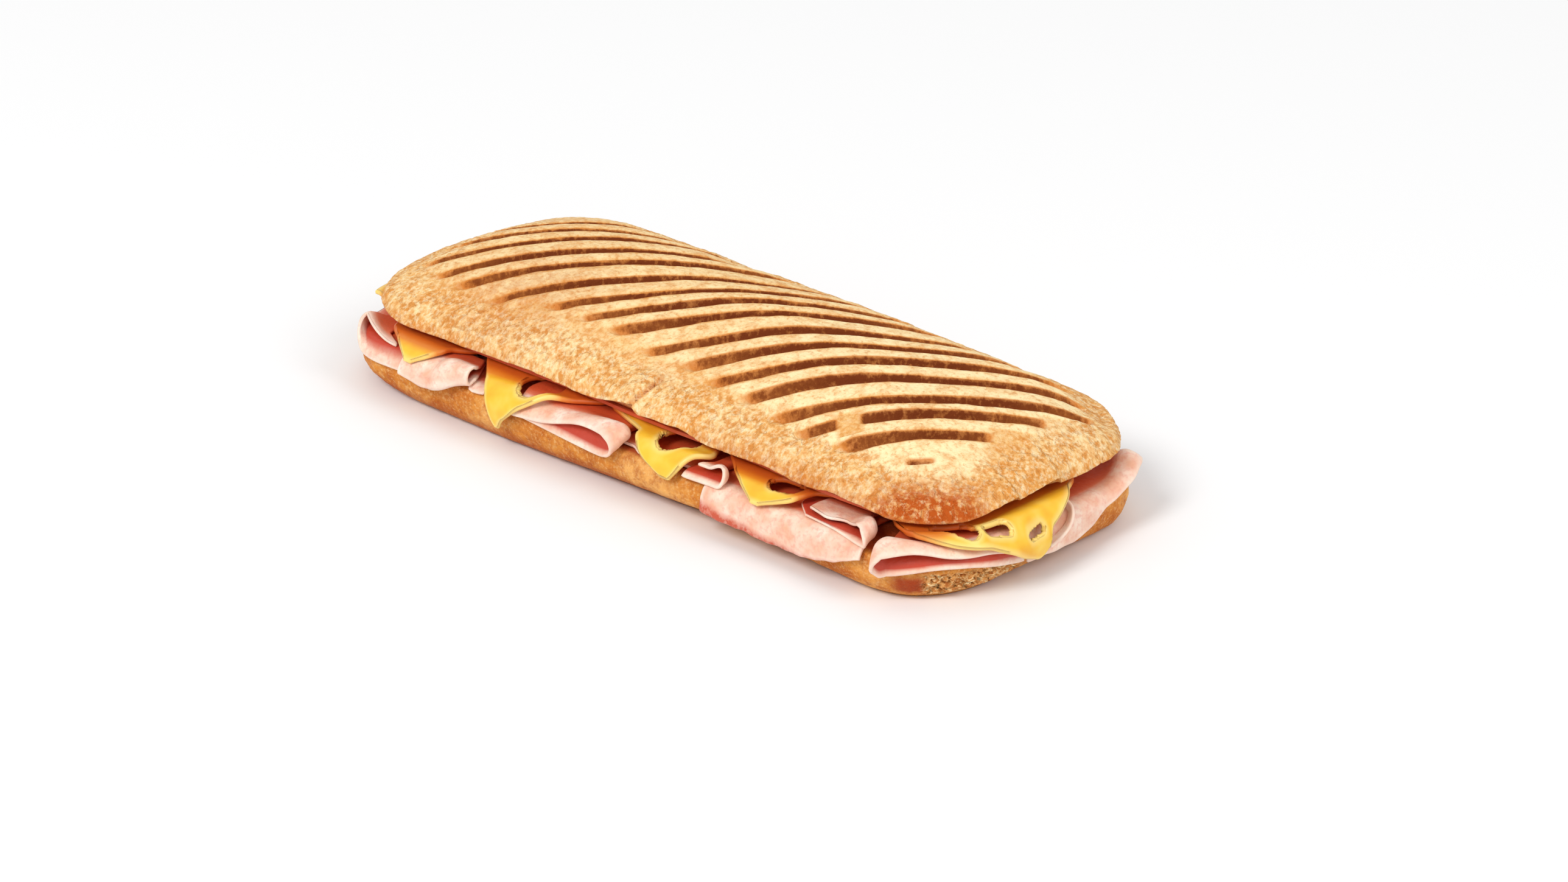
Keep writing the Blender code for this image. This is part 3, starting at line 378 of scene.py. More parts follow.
def build_top_bread(mat):
    """Upper bread: a grid of rows along the grill marks, a rolled edge and a flat underside."""
    spots = np.arange(-101.0, 106.0, TOP_ROW_STEP)
    across = np.array([-104.4, -103.6, -102.5, *spots, 106.4, 107.0])
    low, high = chord(across, TOP_BORDER)
    t = np.linspace(0.0, 1.0, TOP_COLUMNS + 1)
    t = 0.5 * t + 0.5 * (0.5 - 0.5 * np.cos(np.pi * t))
    along = low[:, None] + (high - low)[:, None] * t[None, :]
    x, y = plan_point(across[:, None] * np.ones_like(along), along)
    inset, nx, ny = top_inset(x, y)
    for row in (0, -1):
        x[row] += nx[row] * (inset[row] - TOP_BORDER)
        y[row] += ny[row] * (inset[row] - TOP_BORDER)
    z, char = top_height(x, y)
    inset = top_inset(x, y)[0]
    rows, cols = x.shape
    top = np.stack((x, y, z), axis=-1).reshape(-1, 3)
    edge = list(range(cols))
    edge += [(r + 1) * cols - 1 for r in range(1, rows - 1)]
    edge += list(range(rows * cols - 1, (rows - 1) * cols - 1, -1))
    edge += [r * cols for r in range(rows - 2, 0, -1)]
    ex, ey = top[edge, 0], top[edge, 1]
    at, ox, oy = top_inset(ex, ey)
    points, chars = [top], [char.ravel()]
    faces = grid_faces(rows, cols).tolist()
    ring = edge
    count = len(edge)
    profile = ((0.7, 23.3, 0.84), (0.3, 22.75, 0.9), (0.05, 22.3, 0.95), (0.05, 22.0, 0.98),
               (0.35, 21.75, 1.0), (1.2, 21.75, 1.0), (2.6, 21.85, 0.7), (5.0, 21.95, 0.0))
    base = rows * cols
    for inset_to, height, share in profile:
        px, py = ex + ox * (at - inset_to), ey + oy * (at - inset_to)
        pz = height + share * lip_rise(px, py)
        points.append(np.stack((px, py, pz), axis=-1))
        chars.append(np.zeros(count))
        following = list(range(base, base + count))
        for i in range(count):
            j = (i + 1) % count
            faces.append((ring[i], ring[j], following[j], following[i]))
        ring = following
        base += count
    faces.append(tuple(ring))
    points = np.concatenate(points)
    chars = np.concatenate(chars)

    # Crust relief pushed out along the surface
    inset, nx, ny = top_inset(*points.T[:2])
    steep = smooth(16.0, 2.0, inset)
    outward = unit(np.stack((nx * steep, ny * steep, np.maximum(1.0 - steep, 0.15)), axis=-1))
    wall = smooth(17.0, 9.0, inset)
    coarse = grain(points, (5.0, 5.0, 9.0), 3.1)
    fine = grain(points, (1.5, 1.5, 3.4), 7.7, 2)
    shown = smooth(21.4, 22.6, points[:, 2])
    push = (WALL_RELIEF[0] * coarse + WALL_RELIEF[1] * fine) * wall
    push += (CROWN_RELIEF[0] * coarse + CROWN_RELIEF[1] * fine) * (1.0 - wall)
    past, strength = crease(*points.T)
    push -= strength * CREASE_DEPTH * np.exp(-(past / 0.55) ** 2)
    push += strength * CREASE_SWELL * np.exp(-np.abs(past) / 4.0) * np.where(past < 0, 1.0, -0.5)
    points += outward * (push * shown * (1.0 - 0.5 * chars))[:, None]
    to_corner = np.hypot(points[:, 0] - DRAWN_CORNER[0], points[:, 1] - DRAWN_CORNER[1])
    drawn = DRAWN_IN * smooth(24.0, 4.0, to_corner) * smooth(16.0, 4.0, inset)
    points[:, 0] -= nx * drawn
    points[:, 1] -= ny * drawn

    # Where the crust is charred, browned or pale, and where it has painted shade in the crease and
    # painted highlight on the ridges and the far-left end
    x, y, z = points.T
    _, ridge, _, floor = grooves(x, y, inset)
    # Painted highlight: the far-left end gets the walls' extra flour, paler, along with their streaks
    wall = np.maximum(wall, smooth(-84.0, -108.0, x))
    to_corner = np.hypot(x - BROWNED_CORNER[0], y - BROWNED_CORNER[1])
    to_front = np.hypot(x - BROWNED_FRONT[0], y - BROWNED_FRONT[1])
    browning_and_crease_shade = 0.9 * smooth(22.0, 5.0, to_corner) * smooth(33.0, 26.0, z) * smooth(21.5, 24.5, z)
    browning_and_crease_shade += 0.3 * smooth(26.0, 23.0, z) + 0.3 * smooth(34.0, 6.0, to_front)
    browning_and_crease_shade += 0.35 * smooth(10.0, 60.0, x) * smooth(31.0, 24.0, z) * smooth(-20.0, -40.0, y)
    # Painted shade: the crease is darkened along its line
    browning_and_crease_shade += 0.75 * strength * np.exp(-(past / 0.7) ** 2)
    # Paler ridges: partly paler crust, partly a painted highlight that grows towards the right end
    ridge = ridge * (0.85 + 0.45 * smooth(-20.0, 60.0, x))
    floor = floor * (chars > 0)
    attributes = {"char": chars, "wall": wall, "browning_and_crease_shade": browning_and_crease_shade, "ridge": ridge, "floor": floor}
    new_object("crust_top", points, faces, mat, "bread_top", attributes)


def build_bottom_bread(mat):
    """Lower bread: rings up its side, with a flat underside and a flat top."""
    count = BOTTOM_COLUMNS
    p = np.linspace(-HALF_OUTLINE, HALF_OUTLINE, count, endpoint=False)
    x, y, nx, ny = outline_at(p)
    rings, torns, darkening_and_top_shades = [], [], []
    knots = np.linspace(0.0, 1.0, len(BOTTOM_PROFILE))
    for i in range(BOTTOM_STEPS + 1):
        k = i / BOTTOM_STEPS
        inset, height = [np.mean([np.interp(k + d, knots, values) for d in (-0.05, 0.0, 0.05)])
                         for values in zip(*BOTTOM_PROFILE)]
        height = 0.0 if i == 0 else height
        swell = 0.3 + 0.15 * np.sin(x / 8.0 + 2.0) + 0.15 * np.sin(x / 19.0 - y / 6.0)
        arch = rounded(ARCH, p, 3.0) * smooth(8.0, 0.0, height)
        side = smooth(0.0, 3.0, height) * smooth(BOTTOM_TOP, 11.0, height)
        lift = arch if height > 0.0 else 0.0
        tuck = inset + swell * side + (arch * 1.6 if height <= 0.0 else 0.5 * arch)
        ring = np.stack((x - nx * tuck, y - ny * tuck, height + lift + 0.0 * x), axis=-1)
        spots = np.stack((p, np.zeros(count), np.full(count, height)), axis=-1)
        rough = 0.38 * grain(spots, (6.0, 1.0, 7.0), 1.3) + 0.22 * grain(spots, (1.8, 1.0, 2.6), 5.9, 2)
        torn = smooth(112.0, 118.0, p) * smooth(154.0, 140.0, p) * smooth(10.5, 7.5, height) * side
        pits = np.abs(grain(spots, (3.0, 1.0, 2.6), 9.4, 2))
        push = rough * side - torn * (0.5 + 1.6 * smooth(0.25, 0.05, pits))
        ring[:, 0] += nx * push
        ring[:, 1] += ny * push
        rings.append(ring)
        torns.append(torn)
        # A dark red-brown patch low on the side, beside the torn crumb
        darkening_and_top_shade = smooth(104.0, 109.0, p) * smooth(117.0, 114.0, p)
        darkening_and_top_shade = darkening_and_top_shade * smooth(1.0, 3.5, height) * smooth(9.5, 7.0, height)
        # Painted shade: the top face and its edge are dark red-brown under the top bread and filling
        darkening_and_top_shade = np.maximum(darkening_and_top_shade, smooth(13.4, 14.2, height))
        # Darker toasting along the bottom of the side, from the middle towards the far end
        darkening_and_top_shades.append(np.maximum(0.6 * smooth(6.5, 1.5, height) * smooth(60.0, -20.0, p), darkening_and_top_shade))
    points = np.concatenate(rings)
    faces = []
    for r in range(BOTTOM_STEPS):
        for i in range(count):
            j = (i + 1) % count
            faces.append((r * count + i, r * count + j, (r + 1) * count + j, (r + 1) * count + i))
    faces.append(tuple(range(count - 1, -1, -1)))
    faces.append(tuple(range(BOTTOM_STEPS * count, (BOTTOM_STEPS + 1) * count)))
    attributes = {"torn": np.concatenate(torns), "darkening_and_top_shade": np.concatenate(darkening_and_top_shades)}
    new_object("crust_bottom", points, faces, mat, "bread_bottom", attributes)


def slab(name, node, grid, thickness, mat, holes=(), folded=0, sides=True, shade=1.5, pale=3.0,
         seared=False):
    """Slice of even thickness with round edges, around a grid of (place, distance out, lift).

    A hole is a place, a distance out and a radius at each of its two ends. folded is 1 or -1
    where that face is the inside of a fold, which takes painted shade beyond pale millimetres from its
    edge.
    The slice also takes painted shade under the top bread, from shade millimetres out to six further in,
    and a pale band along its edges that is a painted highlight, on ham partly its fat.
    """
    p, s, lift = [np.array(a, float) for a in grid]
    rows, cols = s.shape
    cut = np.zeros((rows, cols), bool)
    near_hole = np.full((rows, cols), 99.0)
    for p0, s0, r0, p1, s1, r1 in holes:
        run = max((p1 - p0) ** 2 + (s1 - s0) ** 2, 1e-9)
        t = np.clip(((p - p0) * (p1 - p0) + (s - s0) * (s1 - s0)) / run, 0.0, 1.0)
        hp, hs, radius = mix(p0, p1, t), mix(s0, s1, t), mix(r0, r1, t)
        away = np.hypot(p - hp, s - hs)
        inside = away < radius
        scale = radius / np.maximum(away, 1e-6)
        near_hole = np.minimum(near_hole, np.abs(away - radius))
        p = np.where(inside, hp + (p - hp) * scale, p)
        s = np.where(inside, hs + (s - hs) * scale, s)
        cut |= inside
    mid = wrap(p, s, lift)
    along = np.gradient(mid, axis=0)
    aside = np.gradient(mid, axis=1)
    normal = unit(np.cross(along, aside))
    edge = np.minimum(s.max(axis=0)[None, :] - s, near_hole)
    if sides:
        width = np.abs(np.gradient(p, axis=1)).sum(axis=1)[:, None]
        u = np.linspace(0.0, 1.0, cols)[None, :]
        edge = np.minimum(edge, np.minimum(u, 1.0 - u) * width)
    mid, normal = mid.reshape(-1, 3), normal.reshape(-1, 3)
    total = rows * cols

    quads = grid_faces(rows, cols)
    quads = quads[~cut.ravel()[quads].all(axis=1)]
    used = np.zeros(total, bool)
    used[quads.ravel()] = True

    pairs = np.concatenate([quads[:, [k, (k + 1) % 4]] for k in range(4)])
    owner = np.tile(np.arange(len(quads)), 4)
    keys = np.sort(pairs, axis=1)
    keys = keys[:, 0] * total + keys[:, 1]
    _, first, counts = np.unique(keys, return_index=True, return_counts=True)
    border = first[counts == 1]
    edges, owners = pairs[border], owner[border]
    centres = mid[quads].mean(axis=1)
    run = unit(mid[edges[:, 1]] - mid[edges[:, 0]])
    out = (mid[edges[:, 0]] + mid[edges[:, 1]]) / 2 - centres[owners]
    out -= run * (out * run).sum(axis=1)[:, None]
    out = unit(out)
    outward = np.zeros((total, 3))
    np.add.at(outward, edges[:, 0], out)
    np.add.at(outward, edges[:, 1], out)
    rim = np.unique(edges.ravel())
    outward[rim] = unit(outward[rim])

    half = thickness / 2
    upper, lower = mid + normal * half, mid - normal * half
    shrink = np.zeros((total, 1))
    shrink[rim] = RIM_SHRINK * thickness
    upper, lower = upper - outward * shrink, lower - outward * shrink
    rim_high = mid[rim] + normal[rim] * RIM_SIDE * thickness + outward[rim] * RIM_OUT * thickness
    rim_low = mid[rim] - normal[rim] * RIM_SIDE * thickness + outward[rim] * RIM_OUT * thickness
    points = np.concatenate((upper, lower, rim_high, rim_low))
    place = np.full(total, -1)
    place[rim] = np.arange(len(rim))
    high, low = 2 * total + place, 2 * total + len(rim) + place
    a, b = edges.T
    faces = np.concatenate((quads[:, ::-1], quads + total,
                            np.stack((a, b, high[b], high[a]), axis=1),
                            np.stack((high[a], high[b], low[b], low[a]), axis=1),
                            np.stack((low[a], low[b], b + total, a + total), axis=1)))
    keep = np.concatenate((used, used, np.ones(2 * len(rim), bool)))
    faces = (np.cumsum(keep) - 1)[faces].tolist()
    # Painted shade on the inside face of a fold, fading out towards its edge
    fold_shade_amount = smooth(0.2 * pale, pale, edge).ravel()
    painted_fold_shades = [fold_shade_amount if folded == side else np.zeros(total) for side in (1, -1)]
    # Painted shade under the top bread's overhang, from shade millimetres out to six further in
    painted_shade = smooth(shade, shade - 6.0, s).ravel()
    # Pale band along the edges: a painted highlight, and on ham partly its fat
    near_edge = 1.0 - smooth(0.0, 1.6, edge).ravel()
    rim_zero = np.zeros(len(rim))
    attributes = {
        "painted_shade": np.concatenate((painted_shade, painted_shade, painted_shade[rim], painted_shade[rim]))[keep],
        "inner": np.concatenate((*painted_fold_shades, rim_zero, rim_zero))[keep],
        "rim": np.concatenate((near_edge, near_edge, rim_zero + 1.0, rim_zero + 1.0))[keep],
    }
    if seared:
        sear = smooth(5.0, 1.2, s.max(axis=0)[None, :] - s + 0.07 * (p - 38.0)).ravel()
        attributes["sear"] = np.concatenate((sear, sear, sear[rim], sear[rim]))[keep]
    new_object(name, points[keep], faces, mat, node, attributes)


def side_grid(places, lifts, reach, inner, steps, width, inside_steps):
    """Grid from the hanging edge of a slice in to the flat stack."""
    u = np.linspace(0.0, 1.0, width + 1)[None, :]
    out = np.broadcast_to(reach(u), u.shape)
    rim = np.minimum(out - 0.4, -0.4)
    k = np.linspace(0.0, 1.0, steps + 1)[:, None]
    s = mix(out, rim, k)
    k = np.linspace(0.0, 1.0, inside_steps + 1)[1:, None]
    s = np.concatenate((s, mix(rim, -inner, k)))
    u = np.broadcast_to(u, s.shape)
    return np.broadcast_to(places(u, s), s.shape), s, np.broadcast_to(lifts(u, s), s.shape)


def through_grid(front, back, steps, width, inside_steps=10):
    """Grid of a slice that runs from the front side to the back side."""
    one = side_grid(*front, FLATTEN_DEPTH, steps, width, inside_steps)
    places, lifts, reach = back
    two = side_grid(lambda u, s: HALF_OUTLINE - places(u, s), lifts, reach, FLATTEN_DEPTH, steps, width,
                    inside_steps)
    return [np.concatenate((a, b[::-1])) for a, b in zip(one, two)]


def fold(u, ends, bend, low, high, droop, settle, bulge):
    """Place and lift along a slice folded over at its bend, from its low leg to its high one."""
    radius = (high - low) / 2
    way = np.sign(np.asarray(bend) - ends[0])
    a = np.clip((u - LEG_SHARE) / (1 - 2 * LEG_SHARE), 0.0, 1.0) * math.pi
    place = bend + way * bulge * radius * np.sin(a)
    lift = (low + high) / 2 - radius * np.cos(a)
    place = np.where(u < LEG_SHARE, mix(ends[0], bend, u / LEG_SHARE), place)
    t = np.clip((u - 1 + LEG_SHARE) / LEG_SHARE, 0.0, 1.0)
    place = np.where(u > 1 - LEG_SHARE, mix(bend, ends[1], t), place)
    return place, lift - droop * smooth(0.0, settle, t)


def folded_side(ends, bend, lifts, reach, inside, levels=(LEVEL_B, LEVEL_C),
                spread=((-5.5, 2.0), (-5.5, 2.0)), rise=(-5.5, 2.0), slant=(-5.5, 2.0),
                lean=0.0, bulge=1.0):
    """Side of a folded slice: open outside the rim, pressed flat into two levels inside.

    The legs spread, the high leg rises and the bend slants between the two distances out
    given for each, and further out the bend leans back.
    """
    low, high, droop, settle = lifts

    def both(u, s):
        out = smooth(*rise, s)
        low_now = mix(levels[0], low, smooth(0.5, 5.0, s))
        high_now = mix(levels[1], high, out)
        legs = [mix(a, b, smooth(*span, s)) for a, b, span in zip(inside[0], ends, spread)]
        turn = mix(inside[1], bend, smooth(*slant, s)) - lean * np.maximum(s, 0.0)
        return fold(u, legs, turn, low_now, high_now, droop * out, settle, mix(1.0, bulge, out))

    return (lambda u, s: both(u, s)[0]), (lambda u, s: both(u, s)[1]), reach


def reach_of(stops):
    """How far out a slice reaches, from stops along its width."""
    return lambda u: rounded(stops, u, 0.02)


def leg_reach(lower_tip, lower_bend, upper_bend, upper_tip):
    """How far out the legs of a folded slice reach at their tips and at the bend."""
    stops = ((0.0, lower_tip), (LEG_SHARE, lower_bend), (1.0 - LEG_SHARE, upper_bend), (1.0, upper_tip))
    return lambda u: curve(stops, u)


def corner_side(left, right, lifts):
    """Side of a cheese slice whose corner pokes out.

    left and right are its edges' places by distance out, up to the tip, and lifts their heights.
    """
    lifts_left = [(s, a) for s, a, b in lifts]
    lifts_right = [(s, b) for s, a, b in lifts]

    def places(u, s):
        return mix(rounded(left, s, 0.8), rounded(right, s, 0.8), u)

    def lift(u, s):
        return mix(curve(lifts_left, s), curve(lifts_right, s), u)

    return places, lift, lambda u: left[-1][0] + 0.0 * u


def build_ham(mat):
    """Every ham slice but ham_upper: the folded ones, the flat ones, the roll and the loop."""
    def ham(name, grid, folded=0, sides=True, shade=1.5, pale=3.0, seared=False):
        slab("meat_" + name, "ham_" + name, grid, HAM, mat, (), folded, sides, shade, pale, seared)

    inside = ((-40.0, -40.0), 0.0)
    reach = reach_of((
        (0.0, 7.0), (0.1, 7.9), (0.2, 8.9), (0.3, 9.8), (0.36, 9.8), (0.42, 8.4), (0.5, 6.2),
        (0.58, 4.9), (0.68, 4.1), (0.73, 3.7), (0.78, 3.5), (0.82, 4.1), (0.9, 6.3), (1.0, 7.6)))
    front = folded_side((-38.0, -38.0), 2.6, (0.95, 7.2, 4.9, 0.75), reach, inside, lean=0.6, bulge=1.5)
    back = folded_side((-34.0, -34.0), -6.0, (2.3, 5.5, 1.8, 1.0), leg_reach(5.0, 6.0, 3.0, 4.0), inside)
    ham("fold_middle", through_grid(front, back, 12, 70), -1, False, pale=4.5)

    inside = ((31.0, 35.0), 38.0)
    front = folded_side((30.0, 34.0), 42.6, (2.3, 6.9, 2.0, 0.6), leg_reach(4.8, 4.3, 0.6, 1.0), inside,
                        rise=(-5.0, 2.0), slant=(-6.0, 2.0))
    back = folded_side((34.0, 34.0), 42.0, (2.3, 4.8, 0.6, 1.0), leg_reach(1.5, 2.0, 1.0, 0.5), inside)
    ham("fold_small", through_grid(front, back, 10, 50), -1, False)

    inside = ((68.0, 74.0), 88.0)
    reach = reach_of((
        (0.0, 0.5), (0.15, 1.5), (0.32, 4.0), (0.42, 4.6), (0.5, 4.2), (0.6, 3.0), (0.68, 2.0),
        (0.75, 0.1), (0.785, -1.4), (0.82, -1.6), (0.89, 0.5), (1.0, -1.3)))
    front = folded_side((75.0, 75.0), 97.0, (2.3, 7.0, 3.1, 0.35), reach, inside, rise=(-9.0, -2.0),
                        slant=(-12.0, 0.0))
    back = folded_side((70.0, 70.0), 88.0, (2.3, 5.0, 0.8, 1.0), leg_reach(3.0, 3.5, 2.0, 1.5), inside)
    ham("fold_right", through_grid(front, back, 10, 56), -1, False, shade=-5.0)

    def hang_place(u, s):
        out = smooth(-6.0, 3.0, s)
        return mix(mix(31.0, 38.0, out), mix(91.0, 97.5, out), u)

    def hang_lift(u, s):
        ripple = 0.35 * np.sin(9.0 * u + 0.5) + 0.2 * np.sin(21.0 * u)
        return LEVEL_A + 0.1 + (0.45 + ripple) * smooth(7.0, 13.0, s)

    reach_stops = ((38.0, 13.4), (43.6, 13.9), (49.5, 14.3), (55.4, 14.2), (61.0, 14.9), (73.0, 14.9),
                   (78.6, 14.3), (84.0, 13.3), (90.0, 11.9), (97.0, 8.9))
    front = (hang_place, hang_lift,
             lambda u: rounded(reach_stops, hang_place(u, 9.0), 1.0) + 0.12 * np.sin(61.0 * u))
    back = (hang_place, hang_lift, lambda u: 6.5 + 1.8 * np.sin(4.0 * u + 1.0))
    ham("hanging", through_grid(front, back, 18, 70), seared=True)

    def flat_place(u, s):
        return mix(-91.0, 28.5, u)

    def flat_reach(u):
        p = flat_place(u, 0.0)
        tab = smooth(-61.0, -57.0, p) * smooth(-49.0, -53.0, p)
        shelf = smooth(6.0, 11.0, p) * smooth(24.0, 18.0, p)
        return -1.0 + 6.0 * tab + 3.4 * shelf + 0.4 * np.sin(0.4 * p)

    def flat_reach_back(u):
        return 1.5 + 2.0 * np.sin(0.11 * flat_place(u, 0.0) + 1.0)

    sheet = (flat_place, lambda u, s: LEVEL_A)
    ham("flat", through_grid((*sheet, flat_reach), (*sheet, flat_reach_back), 6, 90))

    roll = ((0.0, -9.0, LEVEL_B), (0.12, -3.0, LEVEL_B), (0.22, 2.0, 2.45), (0.32, 6.0, 2.45),
            (0.42, 9.3, 2.45), (0.5, 10.2, 3.6), (0.6, 8.6, 5.2), (0.7, 5.6, 6.5),
            (0.8, 2.2, 6.5), (0.88, -1.5, 4.8), (0.94, -5.0, LEVEL_C), (1.0, -9.0, LEVEL_C))
    roll_end = ((-9.0, -63.5), (-4.0, -60.0), (0.0, -57.5), (3.0, -57.0))
    roll_hang = ((-84.0, 0.88), (-77.8, 0.94), (-74.4, 1.0), (-70.5, 0.95), (-65.4, 0.8), (-62.4, 0.6),
                 (-57.0, 0.38))
    v = np.linspace(0.0, 1.0, 81)[:, None]
    s = rounded([(a, b) for a, b, c in roll], v, 0.035)
    lift = rounded([(a, c) for a, b, c in roll], v, 0.035)
    p = mix(rounded(roll_end, s, 0.8), -84.0, np.linspace(0.0, 1.0, 46)[None, :])
    full = smooth(-72.0, -66.0, p)
    flat = np.minimum(lift, np.where(v < 0.55, 3.1, 3.78))
    ham("roll", (p, np.where(s > 0.0, rounded(roll_hang, p, 1.5) * s, s), mix(flat, lift, full)), -1)

    inside = ((-87.5, -101.0), -115.5)
    reach = leg_reach(8.4, 9.3, 0.5, 1.2)
    front = folded_side((-74.0, -91.0), -102.0, (0.95, 6.7, 3.6, 1.0), reach, inside,
                        spread=((2.0, 7.0), (-4.0, 1.0)), slant=(-3.0, 6.0))
    ham("fold_far", side_grid(*front, FLATTEN_DEPTH, 12, 60, 8), 1, False, pale=9.0)

    reach = reach_of((
        (0.0, 13.6), (0.15, 9.4), (0.21, 8.8), (0.27, 10.4), (0.32, 12.0), (0.4, 12.6), (0.5, 10.4),
        (0.6, 8.0), (0.68, 6.6), (0.72, 5.2), (0.755, 4.7), (0.78, 5.1), (0.81, 5.7), (0.86, 6.1),
        (0.9, 6.1), (0.96, 8.7), (1.0, 10.5)))
    inside = ((146.0, 146.0), 105.5)
    front = folded_side((147.0, 147.0), 105.5, (0.95, 6.7, 4.1, 0.6), reach, inside,
                        levels=(LEVEL_A, LEVEL_B), rise=(-3.0, 4.5))
    ham("fold_corner", side_grid(*front, FLATTEN_DEPTH, 16, 84, 8), 1, False)

    loop = ((0.0, 163.5, -9.0), (0.15, 165.0, -3.0), (0.27, 167.3, 1.0), (0.36, 167.5, 3.2),
            (0.46, 166.2, 5.6), (0.58, 163.7, 8.0), (0.7, 160.4, 9.6), (0.84, 157.2, 10.6),
            (1.0, 154.9, 11.2))
    t = np.linspace(0.0, 1.0, 90)[:, None]
    across = np.linspace(0.0, 1.0, 9)[None, :]
    p = rounded([(a, b) for a, b, c in loop], t, 0.05) + 0.0 * across
    s = rounded([(a, c) for a, b, c in loop], t, 0.05) + 0.0 * across
    ham("loop", (p, s, mix(1.8, 4.0, across) + 0.0 * t), -1, shade=3.0, pale=1.0)

    def near_place(u, s):
        return mix(149.0, 204.0, u)

    def near_lift(u, s):
        p = near_place(u, s)
        return LEVEL_A + 4.9 * smooth(182.0, 204.0, p) * smooth(-6.0, 2.0, s)

    near_stops = ((149.0, 14.5), (156.0, 14.8), (165.0, 15.2), (174.0, 14.3), (179.0, 11.5), (182.0, 9.8),
                  (186.6, 7.6), (192.4, 5.6), (204.0, 4.6))

    def near_reach(u):
        return rounded(near_stops, near_place(u, 0.0), 3.0) + 0.15 * np.sin(40.0 * u)

    grid = side_grid(near_place, near_lift, near_reach, FLATTEN_DEPTH, 18, 70, 8)
    ham("near_end", grid, shade=1.8)

    def far_place(u, s):
        return mix(-96.0, -206.0, u)

    def far_lift(u, s):
        return LEVEL_A + 0.4 * smooth(0.0, 6.0, s) * (1.0 + np.sin(9.0 * u))

    far_stops = ((-206.0, 4.0), (-186.0, 8.5), (-166.0, 6.0), (-152.0, 3.0), (-142.0, -0.5),
                 (-127.0, -1.2), (-121.0, 1.8), (-116.5, 3.2), (-113.5, 1.8), (-111.0, -1.0))

    def far_reach(u):
        return rounded(far_stops, far_place(u, 0.0), 3.0)

    ham("far_end", side_grid(far_place, far_lift, far_reach, FLATTEN_DEPTH, 12, 90, 8))


